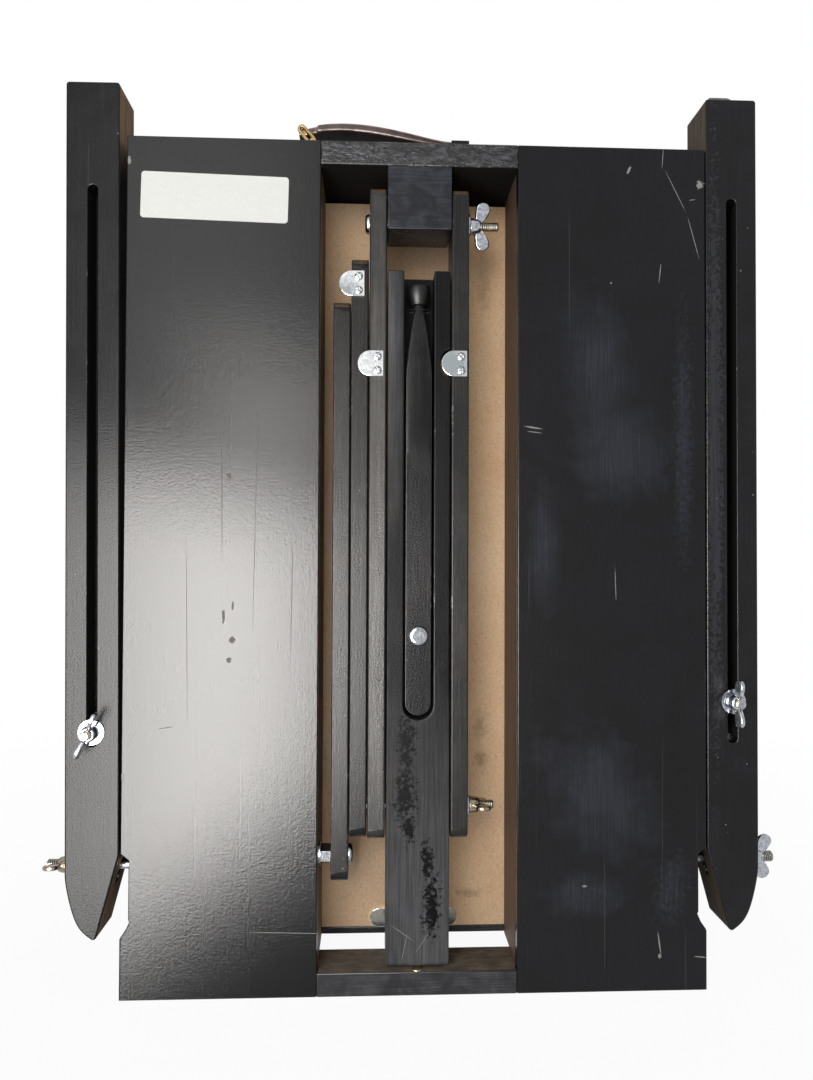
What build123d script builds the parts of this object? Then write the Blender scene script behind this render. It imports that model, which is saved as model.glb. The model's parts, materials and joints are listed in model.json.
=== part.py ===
from build123d import *
import os
from math import atan2, cos, degrees, radians, sin

os.makedirs("parts", exist_ok=True)

# A folding box easel, shut like a suitcase and stood on its front end. The underside faces -Y,
# the rear end with the handle is up, and the front end rests on the floor at Z = 0.
# All lengths are in millimetres. Depths are measured from the underside plane towards the lid.

# Case
CASE_W = 352.0
CASE_H = 514.0
CASE_D = 115.0
UNDERSIDE_Y = -69.5
SIDE_T = 10.0
PANEL_T = 6.0
CHANNEL_W = 120.0
CHANNEL_WALL_T = 6.0
FRONT_RAIL_H = 14.0
FRONT_RAIL_D = 30.0
REAR_BOARD_H = 14.3
EDGE_R = 0.8
RUN_GAP = 0.3
NOTCH_LINE = ((0.0, 86.0), (5.0, 82.0), (5.0, 47.0), (5.7, 46.0), (3.5, 41.0), (0.0, 36.0))
NOTCH_BOARD_D = 34.0

# Drawer and palette
DRAWER_DEPTH_AT = 49.2
DRAWER_OVER = 15.8
DRAWER_D = CASE_D - DRAWER_DEPTH_AT - DRAWER_OVER
DRAWER_BASE_T = 3.0
DRAWER_LOW = 14.5
DRAWER_BASE_LOW = 19.1
DRAWER_SHORT = 17.0
DRAWER_HIGH = CASE_H - DRAWER_SHORT
DRAWER_BOARD_T = 9.0
DRAWER_SIDE_GAP = 0.5
DIVIDER_T = 5.0
DIVIDER_COUNT = 3
CATCH_W = 57.0
CATCH_H = 11.8
CATCH_T = 1.2
PALETTE_T = 5.0
PALETTE_OVER = 12.0
PALETTE_AT = CASE_D - PALETTE_OVER
PALETTE_LOW = 4.0
PALETTE_SHORT = 80.0
PALETTE_H = CASE_H - PALETTE_LOW - PALETTE_SHORT
RUNNER_W = 8.0
RUNNER_T = 2.6
THUMB_R = 16.0

# Lid, stays, latches and mast
LID_GAP = 0.5
LID_D = 39.5
LID_PANEL_T = 5.5
LID_RAIL_T = 10.0
HINGE_R = 2.5
HINGE_PIN_R = 1.2
HINGE_LONG = 50.0
HINGE_X = 110.0
LEAF_T = 1.5
LEAF_REACH = 14.0
STAY_R = 72.0
STAY_W = 12.0
STAY_T = 1.5
STAY_SLOT_W = 5.3
STAY_FROM = -10.0
STAY_TO = 88.0
STAY_STUD_AT = 5.0
STAY_SCREW_AT = -6.0
LATCH_Z = 60.0
LATCH_PIVOT_AT = 9.0
LATCH_STUD_AT = 8.0
LATCH_W = 8.0
MAST_W = 40.0
MAST_T = 10.0
MAST_LOW = 6.0
MAST_SHORT = 34.0
MAST_H = CASE_H - MAST_LOW - MAST_SHORT
MAST_BOLT_Z = 210.0
MAST_SLOT_SHORT = 20.0
MAST_TRAVEL = MAST_LOW + MAST_H - MAST_BOLT_Z - MAST_SLOT_SHORT
MAST_GROOVE_W = 13.0
MAST_GROOVE_D = 3.2
GUIDE_W = 6.0
CLAMP_Z = 60.0
CLAMP_H = 14.0
CLAMP_D = 10.0
CLAMP_UP = 100.0
CLAMP_DOWN = 34.0

# Fasteners
M5_R = 2.5
M6_R = 3.0
BOLT_GAP = 0.06
HEAD_R = 6.0
HEAD_H = 2.7
WASHER_R = 7.5
WASHER_T = 1.1
NUT_SPAN = 29.0
NUT_HIGH = 12.8
NUT_LOBE_R = 4.6
NUT_HUB_R = 5.2
NUT_HUB_H = 7.0
NUT_WING_T = 3.2
SEAT_GAP = 0.25

# Rear leg: two fork bars, a middle leg folded back between them, and a sliding inner leg
PIVOT_DEEP = 15.0
FORK_PIVOT_UNDER = 44.9
FORK_PIVOT_Z = CASE_H - FORK_PIVOT_UNDER
KNEE_Z = 108.7
STRUT_PIVOT_Z = 79.7
ELBOW_UNDER = 114.7
ELBOW_Z = CASE_H - ELBOW_UNDER
BLOCK_W = 39.0
BLOCK_H = 38.7
BLOCK_LOW = CASE_H - REAR_BOARD_H - BLOCK_H
BLOCK_D = 30.0
MID_W = 38.2
MID_D = 25.0
MID_LOW = 15.6
MID_UNDER = 77.5
MID_HIGH = CASE_H - MID_UNDER
FORK_T = 10.5
FORK_D = 26.0
FORK_GAP = 0.8
FORK_OVER_PIVOT = 19.0
FORK_OVER_KNEE = 17.5
BAR_END_R = 7.0
PIVOT_BOLT_OUT = 50.0
KNEE_BOLT_OUT = 47.5
FORK_PIVOT_NUT_TURN = 12.0
KNEE_NUT_TURN = 85.0
TINE_GROOVE_W = 18.5
TINE_GROOVE_D = 15.5
TINE_GROOVE_LOW = 163.3
INNER_W = 15.6
INNER_D = 14.5
INNER_LOW = 166.0
INNER_RECESS = 0.5
NECK_UNDER = 19.5
NECK_Z = MID_HIGH - NECK_UNDER
NECK_R = 3.4
NECK_TURNED = ((12.5, 87.0), (10.7, 45.0), (9.3, 31.0), (7.1, 17.0), (4.7, 7.0), (NECK_R, 3.0))
NECK_SIDES = ((7.8, 40.0), (7.2, 34.0), (6.5, 27.0), (5.2, 19.0), (4.1, 11.0), (NECK_R, 3.0))
NECK_FACES = ((7.25, 33.0), (6.0, 20.0), (4.4, 10.0), (NECK_R, 3.0))
FOOT_H = 13.9
FOOT_LINE = ((4.9, 0.0), (5.2, 1.2), (6.4, 4.5), (7.1, 8.4), (6.7, 11.2), (4.4, 13.2))
FOOT_SINK = 6.0
INNER_BOLT_Z = 214.1
INNER_STOP_UNDER = 24.4
INNER_TRAVEL = MID_HIGH - INNER_STOP_UNDER - INNER_BOLT_Z
WEB_SLOT_W = 5.8

# Folding strut on the left of the fork
STRUT_T = 10.5
LANE_GAP = 0.5
STRUT_UPPER_D = 20.0
STRUT_LOWER_D = 18.0
STRUT_UPPER_OVER_ELBOW = 46.0
STRUT_UPPER_UNDER_KNEE = 17.5
STRUT_LOWER_OVER_ELBOW = 19.4
STRUT_LOWER_UNDER_PIVOT = 15.3
TAB_W = 15.6
TAB_H = 15.7
TAB_T = 1.4
TAB_SCREW_R = 2.3
TAB_SCREW_H = 0.9
TAB_SCREW_APART = 8.4
TAB_SCREW_IN = 3.6
FORK_TAB_UNDER = 57.5
FORK_TAB_Z = MID_HIGH - FORK_TAB_UNDER
FORK_TAB_OUT = 7.0
RIGHT_TAB_IN = 5.6
STRUT_TAB_OVER = 29.2
STRUT_TAB_Z = ELBOW_Z + STRUT_TAB_OVER
NOTCH_ROOM = 0.7
RIVET_HEAD_R = 4.6
RIVET_HEAD_H = 1.6

# Front legs
LEG_GAP = 0.4
LEG_W = 31.6
LEG_D = 30.0
LEG_PROUD = 0.5
LEG_OVER = 31.5
LEG_TOP = CASE_H + LEG_OVER
LEG_PIVOT_Z = 75.0
LEG_PIVOT_DEEP = 14.5
LEG_SLANT_Z = 85.0
LEG_TIP_IN = 13.9
LEG_TIP_Z = 34.3
LEG_ROUND_Z = 74.5
LEG_ROUND = ((0.9, 66.0), (3.9, 53.0), (9.6, 41.0))
LEG_TIP_R = 2.0
LEG_CORNER_R = 1.8
SPLAY = 16.5
LEG_SLOT_LOW = 149.0
LEG_SLOT_SHORT = 62.0
LEG_SLOT_HIGH = LEG_TOP - LEG_SLOT_SHORT
LEG_SLOT_W = 6.2
LOWER_W = 15.8
LOWER_D = 14.0
LOWER_GAP = 0.3
LOWER_LOW = 139.0
LOWER_SHORT = 4.9
LOWER_TOP = LEG_TOP - LOWER_SHORT
LOWER_BOLT_Z = 157.8
RIGHT_OUT = 16.8
LEFT_LEAN = 0.5
LEFT_NUT_TURN = 114.0
RIGHT_NUT_TURN = 0.0

# Handle: a leather strap pinned at its right, with a slotted link at its left
HANDLE_AT = 6.0
HANDLE_W = 22.0
STRAP_RIGHT = 27.6
STRAP_LEFT = -69.0
STRAP_PIN = (22.0, CASE_H + 2.4)
STRAP_RISE = ((-69.0, 11.2), (-50.0, 14.0), (-5.0, 8.7), (17.0, 4.4), (STRAP_RIGHT, 4.0))
STRAP_UNDER_RISE = ((-69.0, 7.0), (-50.0, 9.5), (-5.0, 4.2), (17.0, 0.8), (STRAP_RIGHT, 0.8))
STRAP_TOP = [(x, CASE_H + rise) for x, rise in STRAP_RISE]
STRAP_UNDER = [(x, CASE_H + rise) for x, rise in STRAP_UNDER_RISE]
LINK_FOOT = (-66.2, CASE_H + 3.0)
LINK_PIN = (-72.2, CASE_H + 9.8)
LINK_GAP = 2.2
LINK_WIRE = 1.6
LINK_ROOM = 3.1
HANDLE_PIN_R = 0.6
STRAP_PIN_R = 0.8
EAR_T = 1.6
EAR_H = 4.0
EAR_RIGHT = 30.4
EAR_ROOM = 0.8
SADDLE_IN = 6.0
SADDLE_R = 2.4


def at_depth(d):
    return UNDERSIDE_Y + d


def block(x0, x1, d0, d1, z0, z1):
    low = Pos(x0, at_depth(d0), z0)
    return low * Box(x1 - x0, d1 - d0, z1 - z0, align=(Align.MIN, Align.MIN, Align.MIN))


def mirrored(x0, x1, d0, d1, z0, z1):
    return block(x0, x1, d0, d1, z0, z1) + block(-x1, -x0, d0, d1, z0, z1)


def rod_x(x0, x1, d, z, r):
    turn = Pos((x0 + x1) / 2, at_depth(d), z) * Rot(0, 90, 0)
    return turn * Cylinder(r, abs(x1 - x0))


def rod_y(x, d0, d1, z, r):
    turn = Pos(x, at_depth((d0 + d1) / 2), z) * Rot(90, 0, 0)
    return turn * Cylinder(r, abs(d1 - d0))


def slot_y(x, d0, d1, z0, z1, w):
    # A slot along Z with round ends, cut through from depth d0 to d1; z0 and z1 are its far ends.
    r = w / 2
    straight = block(x - r, x + r, d0, d1, z0 + r, z1 - r)
    return straight + rod_y(x, d0, d1, z0 + r, r) + rod_y(x, d0, d1, z1 - r, r)


def along_x(x, d, z, way=1):
    # Places a piece whose own axis is +Z so that its axis points along +X or -X.
    return Pos(x, at_depth(d), z) * Rot(0, 90 * way, 0)


def along_y(x, d, z, way=-1):
    # The same, pointing out of the underside (-1) or towards the lid (+1).
    return Pos(x, at_depth(d), z) * Rot(-90 * way, 0, 0)


def soft_ends(bar, r=BAR_END_R):
    return fillet(bar.edges().filter_by(Axis.X), r)


def eased(piece, axis=Axis.Z, r=EDGE_R):
    return fillet(piece.edges().filter_by(axis), r)


def wing_nut(r, turn=0.0):
    # Hub on z = 0 with two rising wings, bored for a bolt of radius r.
    hub = Cylinder(NUT_HUB_R, NUT_HUB_H, align=(Align.CENTER, Align.CENTER, Align.MIN))
    hub = fillet(hub.edges().group_by(Axis.Z)[-1], 1.0)
    lobe_x = NUT_SPAN / 2 - NUT_LOBE_R
    lobe_z = NUT_HIGH - NUT_LOBE_R
    root_x = NUT_HUB_R - 2.5
    root = [(root_x, 1.0), (lobe_x, lobe_z - NUT_LOBE_R)]
    root += [(lobe_x, lobe_z + NUT_LOBE_R / 2), (root_x, NUT_HUB_H - 1)]
    blade = make_face(Polyline(*root, close=True)) + Pos(lobe_x, lobe_z) * Circle(NUT_LOBE_R)
    wing = extrude(Plane.XZ * blade, NUT_WING_T / 2, both=True)
    wings = wing + Rot(0, 0, 180) * wing
    nut = hub + wings - Cylinder(r + BOLT_GAP, 4 * NUT_HIGH)
    return Rot(0, 0, turn) * nut


def washer(r):
    ring = Cylinder(WASHER_R, WASHER_T, align=(Align.CENTER, Align.CENTER, Align.MIN))
    return ring - Cylinder(r + BOLT_GAP, 4 * WASHER_T)


def dome_bolt(r, long, head_r=HEAD_R, head_h=HEAD_H):
    # Head under z = 0, shank from 0 up to its length.
    head = Pos(0, 0, -head_h) * Cylinder(head_r, head_h, align=(Align.CENTER, Align.CENTER, Align.MIN))
    head = fillet(head.edges().group_by(Axis.Z)[0], head_h * 0.85)
    shank = Cylinder(r, long, align=(Align.CENTER, Align.CENTER, Align.MIN))
    shank = chamfer(shank.edges().group_by(Axis.Z)[-1], 0.5)
    return head + shank


def keeper_tab(x0, d, z):
    # A small metal plate, round on its left and straight on its right, with two screws.
    plate = block(x0, x0 + TAB_W, d - TAB_T, d, z - TAB_H / 2, z + TAB_H / 2)
    left = plate.edges().filter_by(Axis.Y).sort_by(Axis.X)[:2]
    plate = fillet(left, TAB_H / 2 - 0.1)
    screws = []
    for side in (-1, 1):
        spot = along_y(x0 + TAB_W - TAB_SCREW_IN, d - TAB_T, z + side * TAB_SCREW_APART / 2)
        dome = Cylinder(TAB_SCREW_R, TAB_SCREW_H, align=(Align.CENTER, Align.CENTER, Align.MIN))
        screws.append(spot * fillet(dome.edges().group_by(Axis.Z)[-1], 0.7))
    return [plate] + screws


def save(name, *pieces):
    solids = []
    for piece in pieces:
        solids.extend(piece.solids())
    shape = solids[0] if len(solids) == 1 else Compound(children=solids)
    export_step(shape, f"parts/{name}.step")


def mirror_x(shape):
    return mirror(shape, about=Plane.YZ)


# Case: underside panels, side boards, channel walls, rear board and front rail
half_w = CASE_W / 2
half_channel = CHANNEL_W / 2
inner_w = half_w - SIDE_T
wall_out = half_channel + CHANNEL_WALL_T
wall_deep = DRAWER_DEPTH_AT - RUN_GAP
rear_low = CASE_H - REAR_BOARD_H
notch_points = [(half_w + 1, NOTCH_LINE[0][1])]
notch_points += [(half_w - inwards, z) for inwards, z in NOTCH_LINE]
notch_points.append((half_w + 1, NOTCH_LINE[-1][1]))
notch_face = Plane.XZ * make_face(Polyline(*notch_points, close=True))
notch = Pos(0, at_depth(-1), 0) * extrude(notch_face, -(NOTCH_BOARD_D + 1))

panel = block(half_channel, half_w, 0, PANEL_T, 0, CASE_H)
panel = eased(panel)
panel = panel - notch
save("bottom_panel_right", panel)
save("bottom_panel_left", mirror_x(panel))

stay_hinge_deep = CASE_D + LID_GAP / 2
stay_hinge_z = CASE_H + HINGE_R
stud_deep = stay_hinge_deep - STAY_R * sin(radians(STAY_STUD_AT))
stud_z = stay_hinge_z - STAY_R * cos(radians(STAY_STUD_AT))
latch_stud_deep = CASE_D - LATCH_STUD_AT
side = block(inner_w, half_w, PANEL_T, CASE_D, 0, CASE_H) - notch
side -= rod_x(inner_w - 1, half_w + 1, LEG_PIVOT_DEEP, LEG_PIVOT_Z, M6_R + BOLT_GAP)
for stud_place in ((stud_deep, stud_z), (latch_stud_deep, LATCH_Z)):
    side -= rod_x(inner_w - 1, half_w + 1, *stud_place, M5_R)
save("side_boards", side, mirror_x(side))

wall = block(half_channel, wall_out, PANEL_T, wall_deep, FRONT_RAIL_H, rear_low)
left_wall = mirror_x(wall)
left_wall -= rod_x(-wall_out - 1, -half_channel + 1, PIVOT_DEEP, STRUT_PIVOT_Z, M5_R + BOLT_GAP)
save("channel_walls", wall, left_wall)

rear = block(-inner_w, inner_w, PANEL_T, CASE_D, rear_low, CASE_H)
rear += block(-half_channel, half_channel, 0, PANEL_T, rear_low, CASE_H)
save("rear_end_board", rear)

rail = block(-inner_w, inner_w, PANEL_T, FRONT_RAIL_D, 0, FRONT_RAIL_H)
rail += block(-half_channel, half_channel, 0, PANEL_T, 0, FRONT_RAIL_H)
rail += mirrored(wall_out, inner_w, FRONT_RAIL_D, wall_deep, 0, FRONT_RAIL_H)
save("front_rail", rail)

pivot_hole = rod_x(-half_channel, half_channel, PIVOT_DEEP, FORK_PIVOT_Z, M5_R + BOLT_GAP)
leg_block = block(-BLOCK_W / 2, BLOCK_W / 2, 0, BLOCK_D, BLOCK_LOW, rear_low)
save("leg_block", eased(leg_block) - pivot_hole)

palette_deep = PALETTE_AT + PALETTE_T
runner_in = inner_w - RUNNER_W
below = PALETTE_AT - RUN_GAP
above = palette_deep + RUN_GAP
runners = mirrored(runner_in, inner_w, below - RUNNER_T, below, FRONT_RAIL_H, rear_low)
runners += mirrored(runner_in, inner_w, above, above + RUNNER_T, FRONT_RAIL_H, rear_low)
save("palette_runners", runners)

# Studs on the case sides: one for each stay and one for each latch
stay_x = half_w + SEAT_GAP
stay_out = stay_x + STAY_T
nut_stud_out = stay_out + SEAT_GAP + WASHER_T + NUT_HUB_H + 3
latch_stud_out = stay_out + 3
studs = rod_x(inner_w + 2, nut_stud_out, stud_deep, stud_z, M5_R)
studs += rod_x(inner_w + 2, latch_stud_out, latch_stud_deep, LATCH_Z, M5_R - 0.5)
studs += along_x(stay_out + SEAT_GAP, stud_deep, stud_z) * washer(M5_R)
save("case_side_studs", studs, mirror_x(studs))

# Drawer
drawer_half = inner_w - DRAWER_SIDE_GAP
drawer_deep = DRAWER_DEPTH_AT + DRAWER_D
base_deep = DRAWER_DEPTH_AT + DRAWER_BASE_T
front_high = DRAWER_LOW + DRAWER_BOARD_T
front = block(-drawer_half, drawer_half, DRAWER_DEPTH_AT, drawer_deep, DRAWER_LOW, front_high)
front -= block(-inner_w, inner_w, DRAWER_DEPTH_AT - 1, base_deep, DRAWER_BASE_LOW, front_high + 1)
save("drawer_front", front)
base = block(-drawer_half, drawer_half, DRAWER_DEPTH_AT, base_deep, DRAWER_BASE_LOW, DRAWER_HIGH)
save("drawer_bottom", base)
drawer_in = drawer_half - DRAWER_BOARD_T
back_low = DRAWER_HIGH - DRAWER_BOARD_T
drawer_side = block(drawer_in, drawer_half, base_deep, drawer_deep - 2, front_high, DRAWER_HIGH)
drawer_back = block(-drawer_in, drawer_in, base_deep, drawer_deep - 2, back_low, DRAWER_HIGH)
save("drawer_sides_and_back", drawer_side, mirror_x(drawer_side), drawer_back)
dividers = []
pitch = (back_low - front_high) / (DIVIDER_COUNT + 1)
for number in range(DIVIDER_COUNT):
    low = front_high + (number + 1) * pitch - DIVIDER_T / 2
    dividers.append(block(-drawer_in, drawer_in, base_deep, drawer_deep - 8, low, low + DIVIDER_T))
save("drawer_dividers", *dividers)
catch_low = DRAWER_BASE_LOW + 0.3
catch_at = DRAWER_DEPTH_AT - CATCH_T
catch_plate = block(-CATCH_W / 2, CATCH_W / 2, catch_at, DRAWER_DEPTH_AT, catch_low, catch_low + CATCH_H)
catch_plate = fillet(catch_plate.edges().filter_by(Axis.Y), CATCH_H / 2 - 0.2)
save("drawer_catch_plate", catch_plate)

# Palette, sliding between its runners
palette_half = inner_w - DRAWER_SIDE_GAP
palette = block(-palette_half, palette_half, PALETTE_AT, palette_deep, PALETTE_LOW, PALETTE_LOW + PALETTE_H)
palette -= rod_y(palette_half * 0.6, PALETTE_AT - 1, palette_deep + 1, PALETTE_LOW + 5 * THUMB_R, THUMB_R)
save("palette", palette)

# Lid, hinged at the rear end
lid_at = CASE_D + LID_GAP
lid_out = lid_at + LID_D
lid_in = lid_out - LID_PANEL_T
mast_out = lid_in - 1.0
mast_at = mast_out - MAST_T
panel_hole = rod_y(0, lid_in - 1, lid_out + 1, MAST_BOLT_Z, M5_R + BOLT_GAP)
panel_hole += rod_y(0, lid_out - HEAD_H - 0.2, lid_out + 1, MAST_BOLT_Z, HEAD_R + 0.2)
lid_panel = eased(block(-half_w, half_w, lid_in, lid_out, 0, CASE_H)) - panel_hole
save("lid_panel", lid_panel)
screw_deep = stay_hinge_deep + STAY_R * sin(radians(-STAY_SCREW_AT))
screw_z = stay_hinge_z - STAY_R * cos(radians(STAY_SCREW_AT))
latch_pivot_deep = lid_at + LATCH_PIVOT_AT
lid_side = block(half_w - LID_RAIL_T, half_w, lid_at, lid_in, 0, CASE_H)
for stud_place in ((screw_deep, screw_z), (latch_pivot_deep, LATCH_Z)):
    lid_side -= rod_x(inner_w - 1, half_w + 1, *stud_place, M5_R - 0.5)
rail_half = half_w - LID_RAIL_T
mast_door = block(-MAST_W / 2 - 3, MAST_W / 2 + 3, mast_at - CLAMP_D - 4, lid_in, -1, LID_RAIL_T + 1)
low_rail = block(-rail_half, rail_half, lid_at, lid_in, 0, LID_RAIL_T) - mast_door
high_rail = block(-rail_half, rail_half, lid_at, lid_in, CASE_H - LID_RAIL_T, CASE_H)
save("lid_frame", lid_side, mirror_x(lid_side), low_rail, high_rail)

# Butt hinges on the rear end: case leaf in the middle, lid knuckles at both ends
knuckle = HINGE_LONG / 3
leaves_case, leaves_lid, pins = [], [], []
for centre in (-HINGE_X, HINGE_X):
    barrel = [centre - HINGE_LONG / 2 + number * knuckle for number in range(4)]
    bore = rod_x(barrel[0] - 1, barrel[3] + 1, stay_hinge_deep, stay_hinge_z, HINGE_PIN_R + BOLT_GAP)
    leaf = block(barrel[0], barrel[3], CASE_D - LEAF_REACH, CASE_D - HINGE_R, CASE_H, CASE_H + LEAF_T)
    near, far = barrel[1] + 0.2, barrel[2] - 0.2
    tongue = block(near, far, CASE_D - LEAF_REACH, stay_hinge_deep, CASE_H + 0.2, CASE_H + LEAF_T)
    middle = rod_x(near, far, stay_hinge_deep, stay_hinge_z, HINGE_R - 0.2)
    leaves_case.append(leaf + tongue + middle - bore)
    lid_leaf = block(barrel[0], barrel[3], lid_at + HINGE_R, lid_at + LEAF_REACH, CASE_H, CASE_H + LEAF_T)
    for end in (0, 2):
        near, far = barrel[end] + 0.2 * (end > 0), barrel[end + 1] - 0.2 * (end == 0)
        lid_leaf += block(near, far, stay_hinge_deep, lid_at + LEAF_REACH, CASE_H + 0.2, CASE_H + LEAF_T)
        lid_leaf += rod_x(near, far, stay_hinge_deep, stay_hinge_z, HINGE_R - 0.2)
    leaves_lid.append(lid_leaf - bore)
    pins.append(rod_x(barrel[0], barrel[3], stay_hinge_deep, stay_hinge_z, HINGE_PIN_R))
save("case_hinge_leaves", *leaves_case)
save("lid_hinge_leaves", *leaves_lid, *pins)


def ring_sector(x0, x1, r_in, r_out, start, stop):
    # A piece of ring about the lid hinge; angles run from straight down towards the underside.
    near, far = stay_hinge_deep - 0.0005, stay_hinge_deep + 0.0005
    sheet = block(x0, x1, near, far, stay_hinge_z - r_out, stay_hinge_z - r_in)
    face = sheet.faces().sort_by(Axis.Y)[0]
    hinge_line = Axis((0, at_depth(stay_hinge_deep), stay_hinge_z), (-1, 0, 0))
    sector = revolve(face, axis=hinge_line, revolution_arc=stop - start)
    return sector.rotate(hinge_line, start)


stay = ring_sector(stay_x, stay_out, STAY_R - STAY_W / 2, STAY_R + STAY_W / 2, STAY_FROM, STAY_TO)
slot_half = STAY_SLOT_W / 2
stay -= ring_sector(stay_x - 1, stay_out + 1, STAY_R - slot_half, STAY_R + slot_half, 2.5, STAY_TO - 4)
stay -= rod_x(stay_x - 1, stay_out + 1, screw_deep, screw_z, M5_R - 0.4)
save("lid_stays", stay, mirror_x(stay))

# Studs in the lid sides: the stay screws and the latch pivots
lid_studs = rod_x(inner_w + 2, stay_out + 2, screw_deep, screw_z, M5_R - 0.5)
lid_studs += rod_x(stay_out + SEAT_GAP, stay_out + 2, screw_deep, screw_z, M5_R + 1)
lid_studs += rod_x(inner_w + 2, stay_out + 2, latch_pivot_deep, LATCH_Z, M5_R - 0.5)
lid_studs += rod_x(stay_out + SEAT_GAP, stay_out + 2, latch_pivot_deep, LATCH_Z, M5_R + 1)

# Latch hooks: a flat arm on the lid that hangs down, and swings up to catch the stud on the case
latch_low_deep = latch_stud_deep - 4.5
hook_low, hook_high = LATCH_Z - LATCH_W / 2, LATCH_Z + LATCH_W / 2
hook = block(stay_x, stay_out, latch_low_deep, latch_pivot_deep + 5, hook_low, hook_high)
hook = fillet(hook.edges().filter_by(Axis.X), LATCH_W / 2 - 0.5)
hook -= rod_x(stay_x - 1, stay_out + 1, latch_pivot_deep, LATCH_Z, M5_R - 0.5 + BOLT_GAP)
hook -= rod_x(stay_x - 1, stay_out + 1, latch_stud_deep, LATCH_Z, M5_R)
mouth_at, mouth_deep = latch_stud_deep - M5_R, latch_stud_deep + M5_R
hook -= block(stay_x - 1, stay_out + 1, mouth_at, mouth_deep, LATCH_Z, LATCH_Z + LATCH_W)
hook = hook.rotate(Axis((0, at_depth(latch_pivot_deep), LATCH_Z), (1, 0, 0)), 90)
save("latch_hook_right", hook)
save("latch_hook_left", mirror_x(hook))

# Canvas mast inside the lid, with its guides, clamp bolt and canvas clamp
mast_half = MAST_W / 2
mast = block(-mast_half, mast_half, mast_at, mast_out, MAST_LOW, MAST_LOW + MAST_H)
mast_slots = [
    (MAST_BOLT_Z - M5_R - 1, MAST_BOLT_Z + MAST_TRAVEL + M5_R + 1),
    (CLAMP_Z + CLAMP_H / 2 - CLAMP_DOWN - M5_R - 1, CLAMP_Z + CLAMP_H / 2 + CLAMP_UP + M5_R + 1),
]
for slot_low, slot_high in mast_slots:
    mast -= slot_y(0, mast_at - 1, mast_out + 1, slot_low, slot_high, 2 * M5_R + 0.6)
    groove_r = (MAST_GROOVE_W - 2 * M5_R) / 2
    groove_low, groove_high = slot_low - groove_r, slot_high + groove_r
    mast -= slot_y(0, mast_out - MAST_GROOVE_D, mast_out + 1, groove_low, groove_high, MAST_GROOVE_W)
save("mast", mast)
guide_in = mast_half + RUN_GAP
guide = block(guide_in, guide_in + GUIDE_W, mast_at - 2, lid_in, LID_RAIL_T + 1, CASE_H - LID_RAIL_T)
save("mast_guides", guide, mirror_x(guide))
mast_bolt_long = lid_out - HEAD_H - mast_at + WASHER_T + NUT_HUB_H + 3
mast_bolt = along_y(0, lid_out - HEAD_H, MAST_BOLT_Z) * dome_bolt(M5_R, mast_bolt_long)
mast_washer = along_y(0, mast_at - SEAT_GAP, MAST_BOLT_Z) * washer(M5_R)
save("lid_fasteners", lid_studs, mirror_x(lid_studs), mast_bolt, mast_washer)
nut_at = mast_at - 2 * SEAT_GAP - WASHER_T
save("mast_wing_nut", along_y(0, nut_at, MAST_BOLT_Z) * wing_nut(M5_R, 90))
clamp_mid = CLAMP_Z + CLAMP_H / 2
clamp = block(-mast_half, mast_half, mast_at - RUN_GAP - 4, mast_at - RUN_GAP, CLAMP_Z, CLAMP_Z + CLAMP_H)
clamp += block(-mast_half, mast_half, mast_at - CLAMP_D, mast_at - RUN_GAP, CLAMP_Z, CLAMP_Z + 3)
clamp_bolt = rod_y(0, mast_at - CLAMP_D + 2, mast_out - 0.4, clamp_mid, M5_R)
clamp_bolt += rod_y(0, mast_out - MAST_GROOVE_D + RUN_GAP, mast_out - 0.4, clamp_mid, MAST_GROOVE_W / 2 - 0.4)
clamp_bolt += rod_y(0, mast_at - CLAMP_D + 2, mast_at - RUN_GAP - 4, clamp_mid, 4.5)
clamp -= rod_y(0, mast_at - CLAMP_D, mast_at, clamp_mid, M5_R)
save("canvas_clamp", clamp, clamp_bolt)

# Wing nuts that lock the lid stays
stay_nut = along_x(stay_out + 2 * SEAT_GAP + WASHER_T, stud_deep, stud_z) * wing_nut(M5_R, 25)
save("stay_wing_nut_right", stay_nut)
save("stay_wing_nut_left", mirror_x(stay_nut))

# Rear leg fork: two bars on one pivot bolt through the leg block and one knee bolt
mid_half = MID_W / 2
fork_in = mid_half + FORK_GAP
fork_out = fork_in + FORK_T
fork_low = KNEE_Z - FORK_OVER_KNEE
fork_high = FORK_PIVOT_Z + FORK_OVER_PIVOT
fork_at = PIVOT_DEEP - FORK_D / 2
knee_hole = rod_x(-half_channel, half_channel, PIVOT_DEEP, KNEE_Z, M5_R + BOLT_GAP)
fork_bar = soft_ends(block(fork_in, fork_out, fork_at, fork_at + FORK_D, fork_low, fork_high))
fork_bar = fork_bar - pivot_hole - knee_hole
save("fork_bars", fork_bar, mirror_x(fork_bar))
left_tab = keeper_tab(-fork_out - FORK_TAB_OUT, fork_at, FORK_TAB_Z)
right_tab_x = mid_half - RIGHT_TAB_IN
right_tab = keeper_tab(right_tab_x, fork_at, FORK_TAB_Z + 0.5)
save("fork_keeper_tabs", *left_tab, *right_tab)

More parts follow.
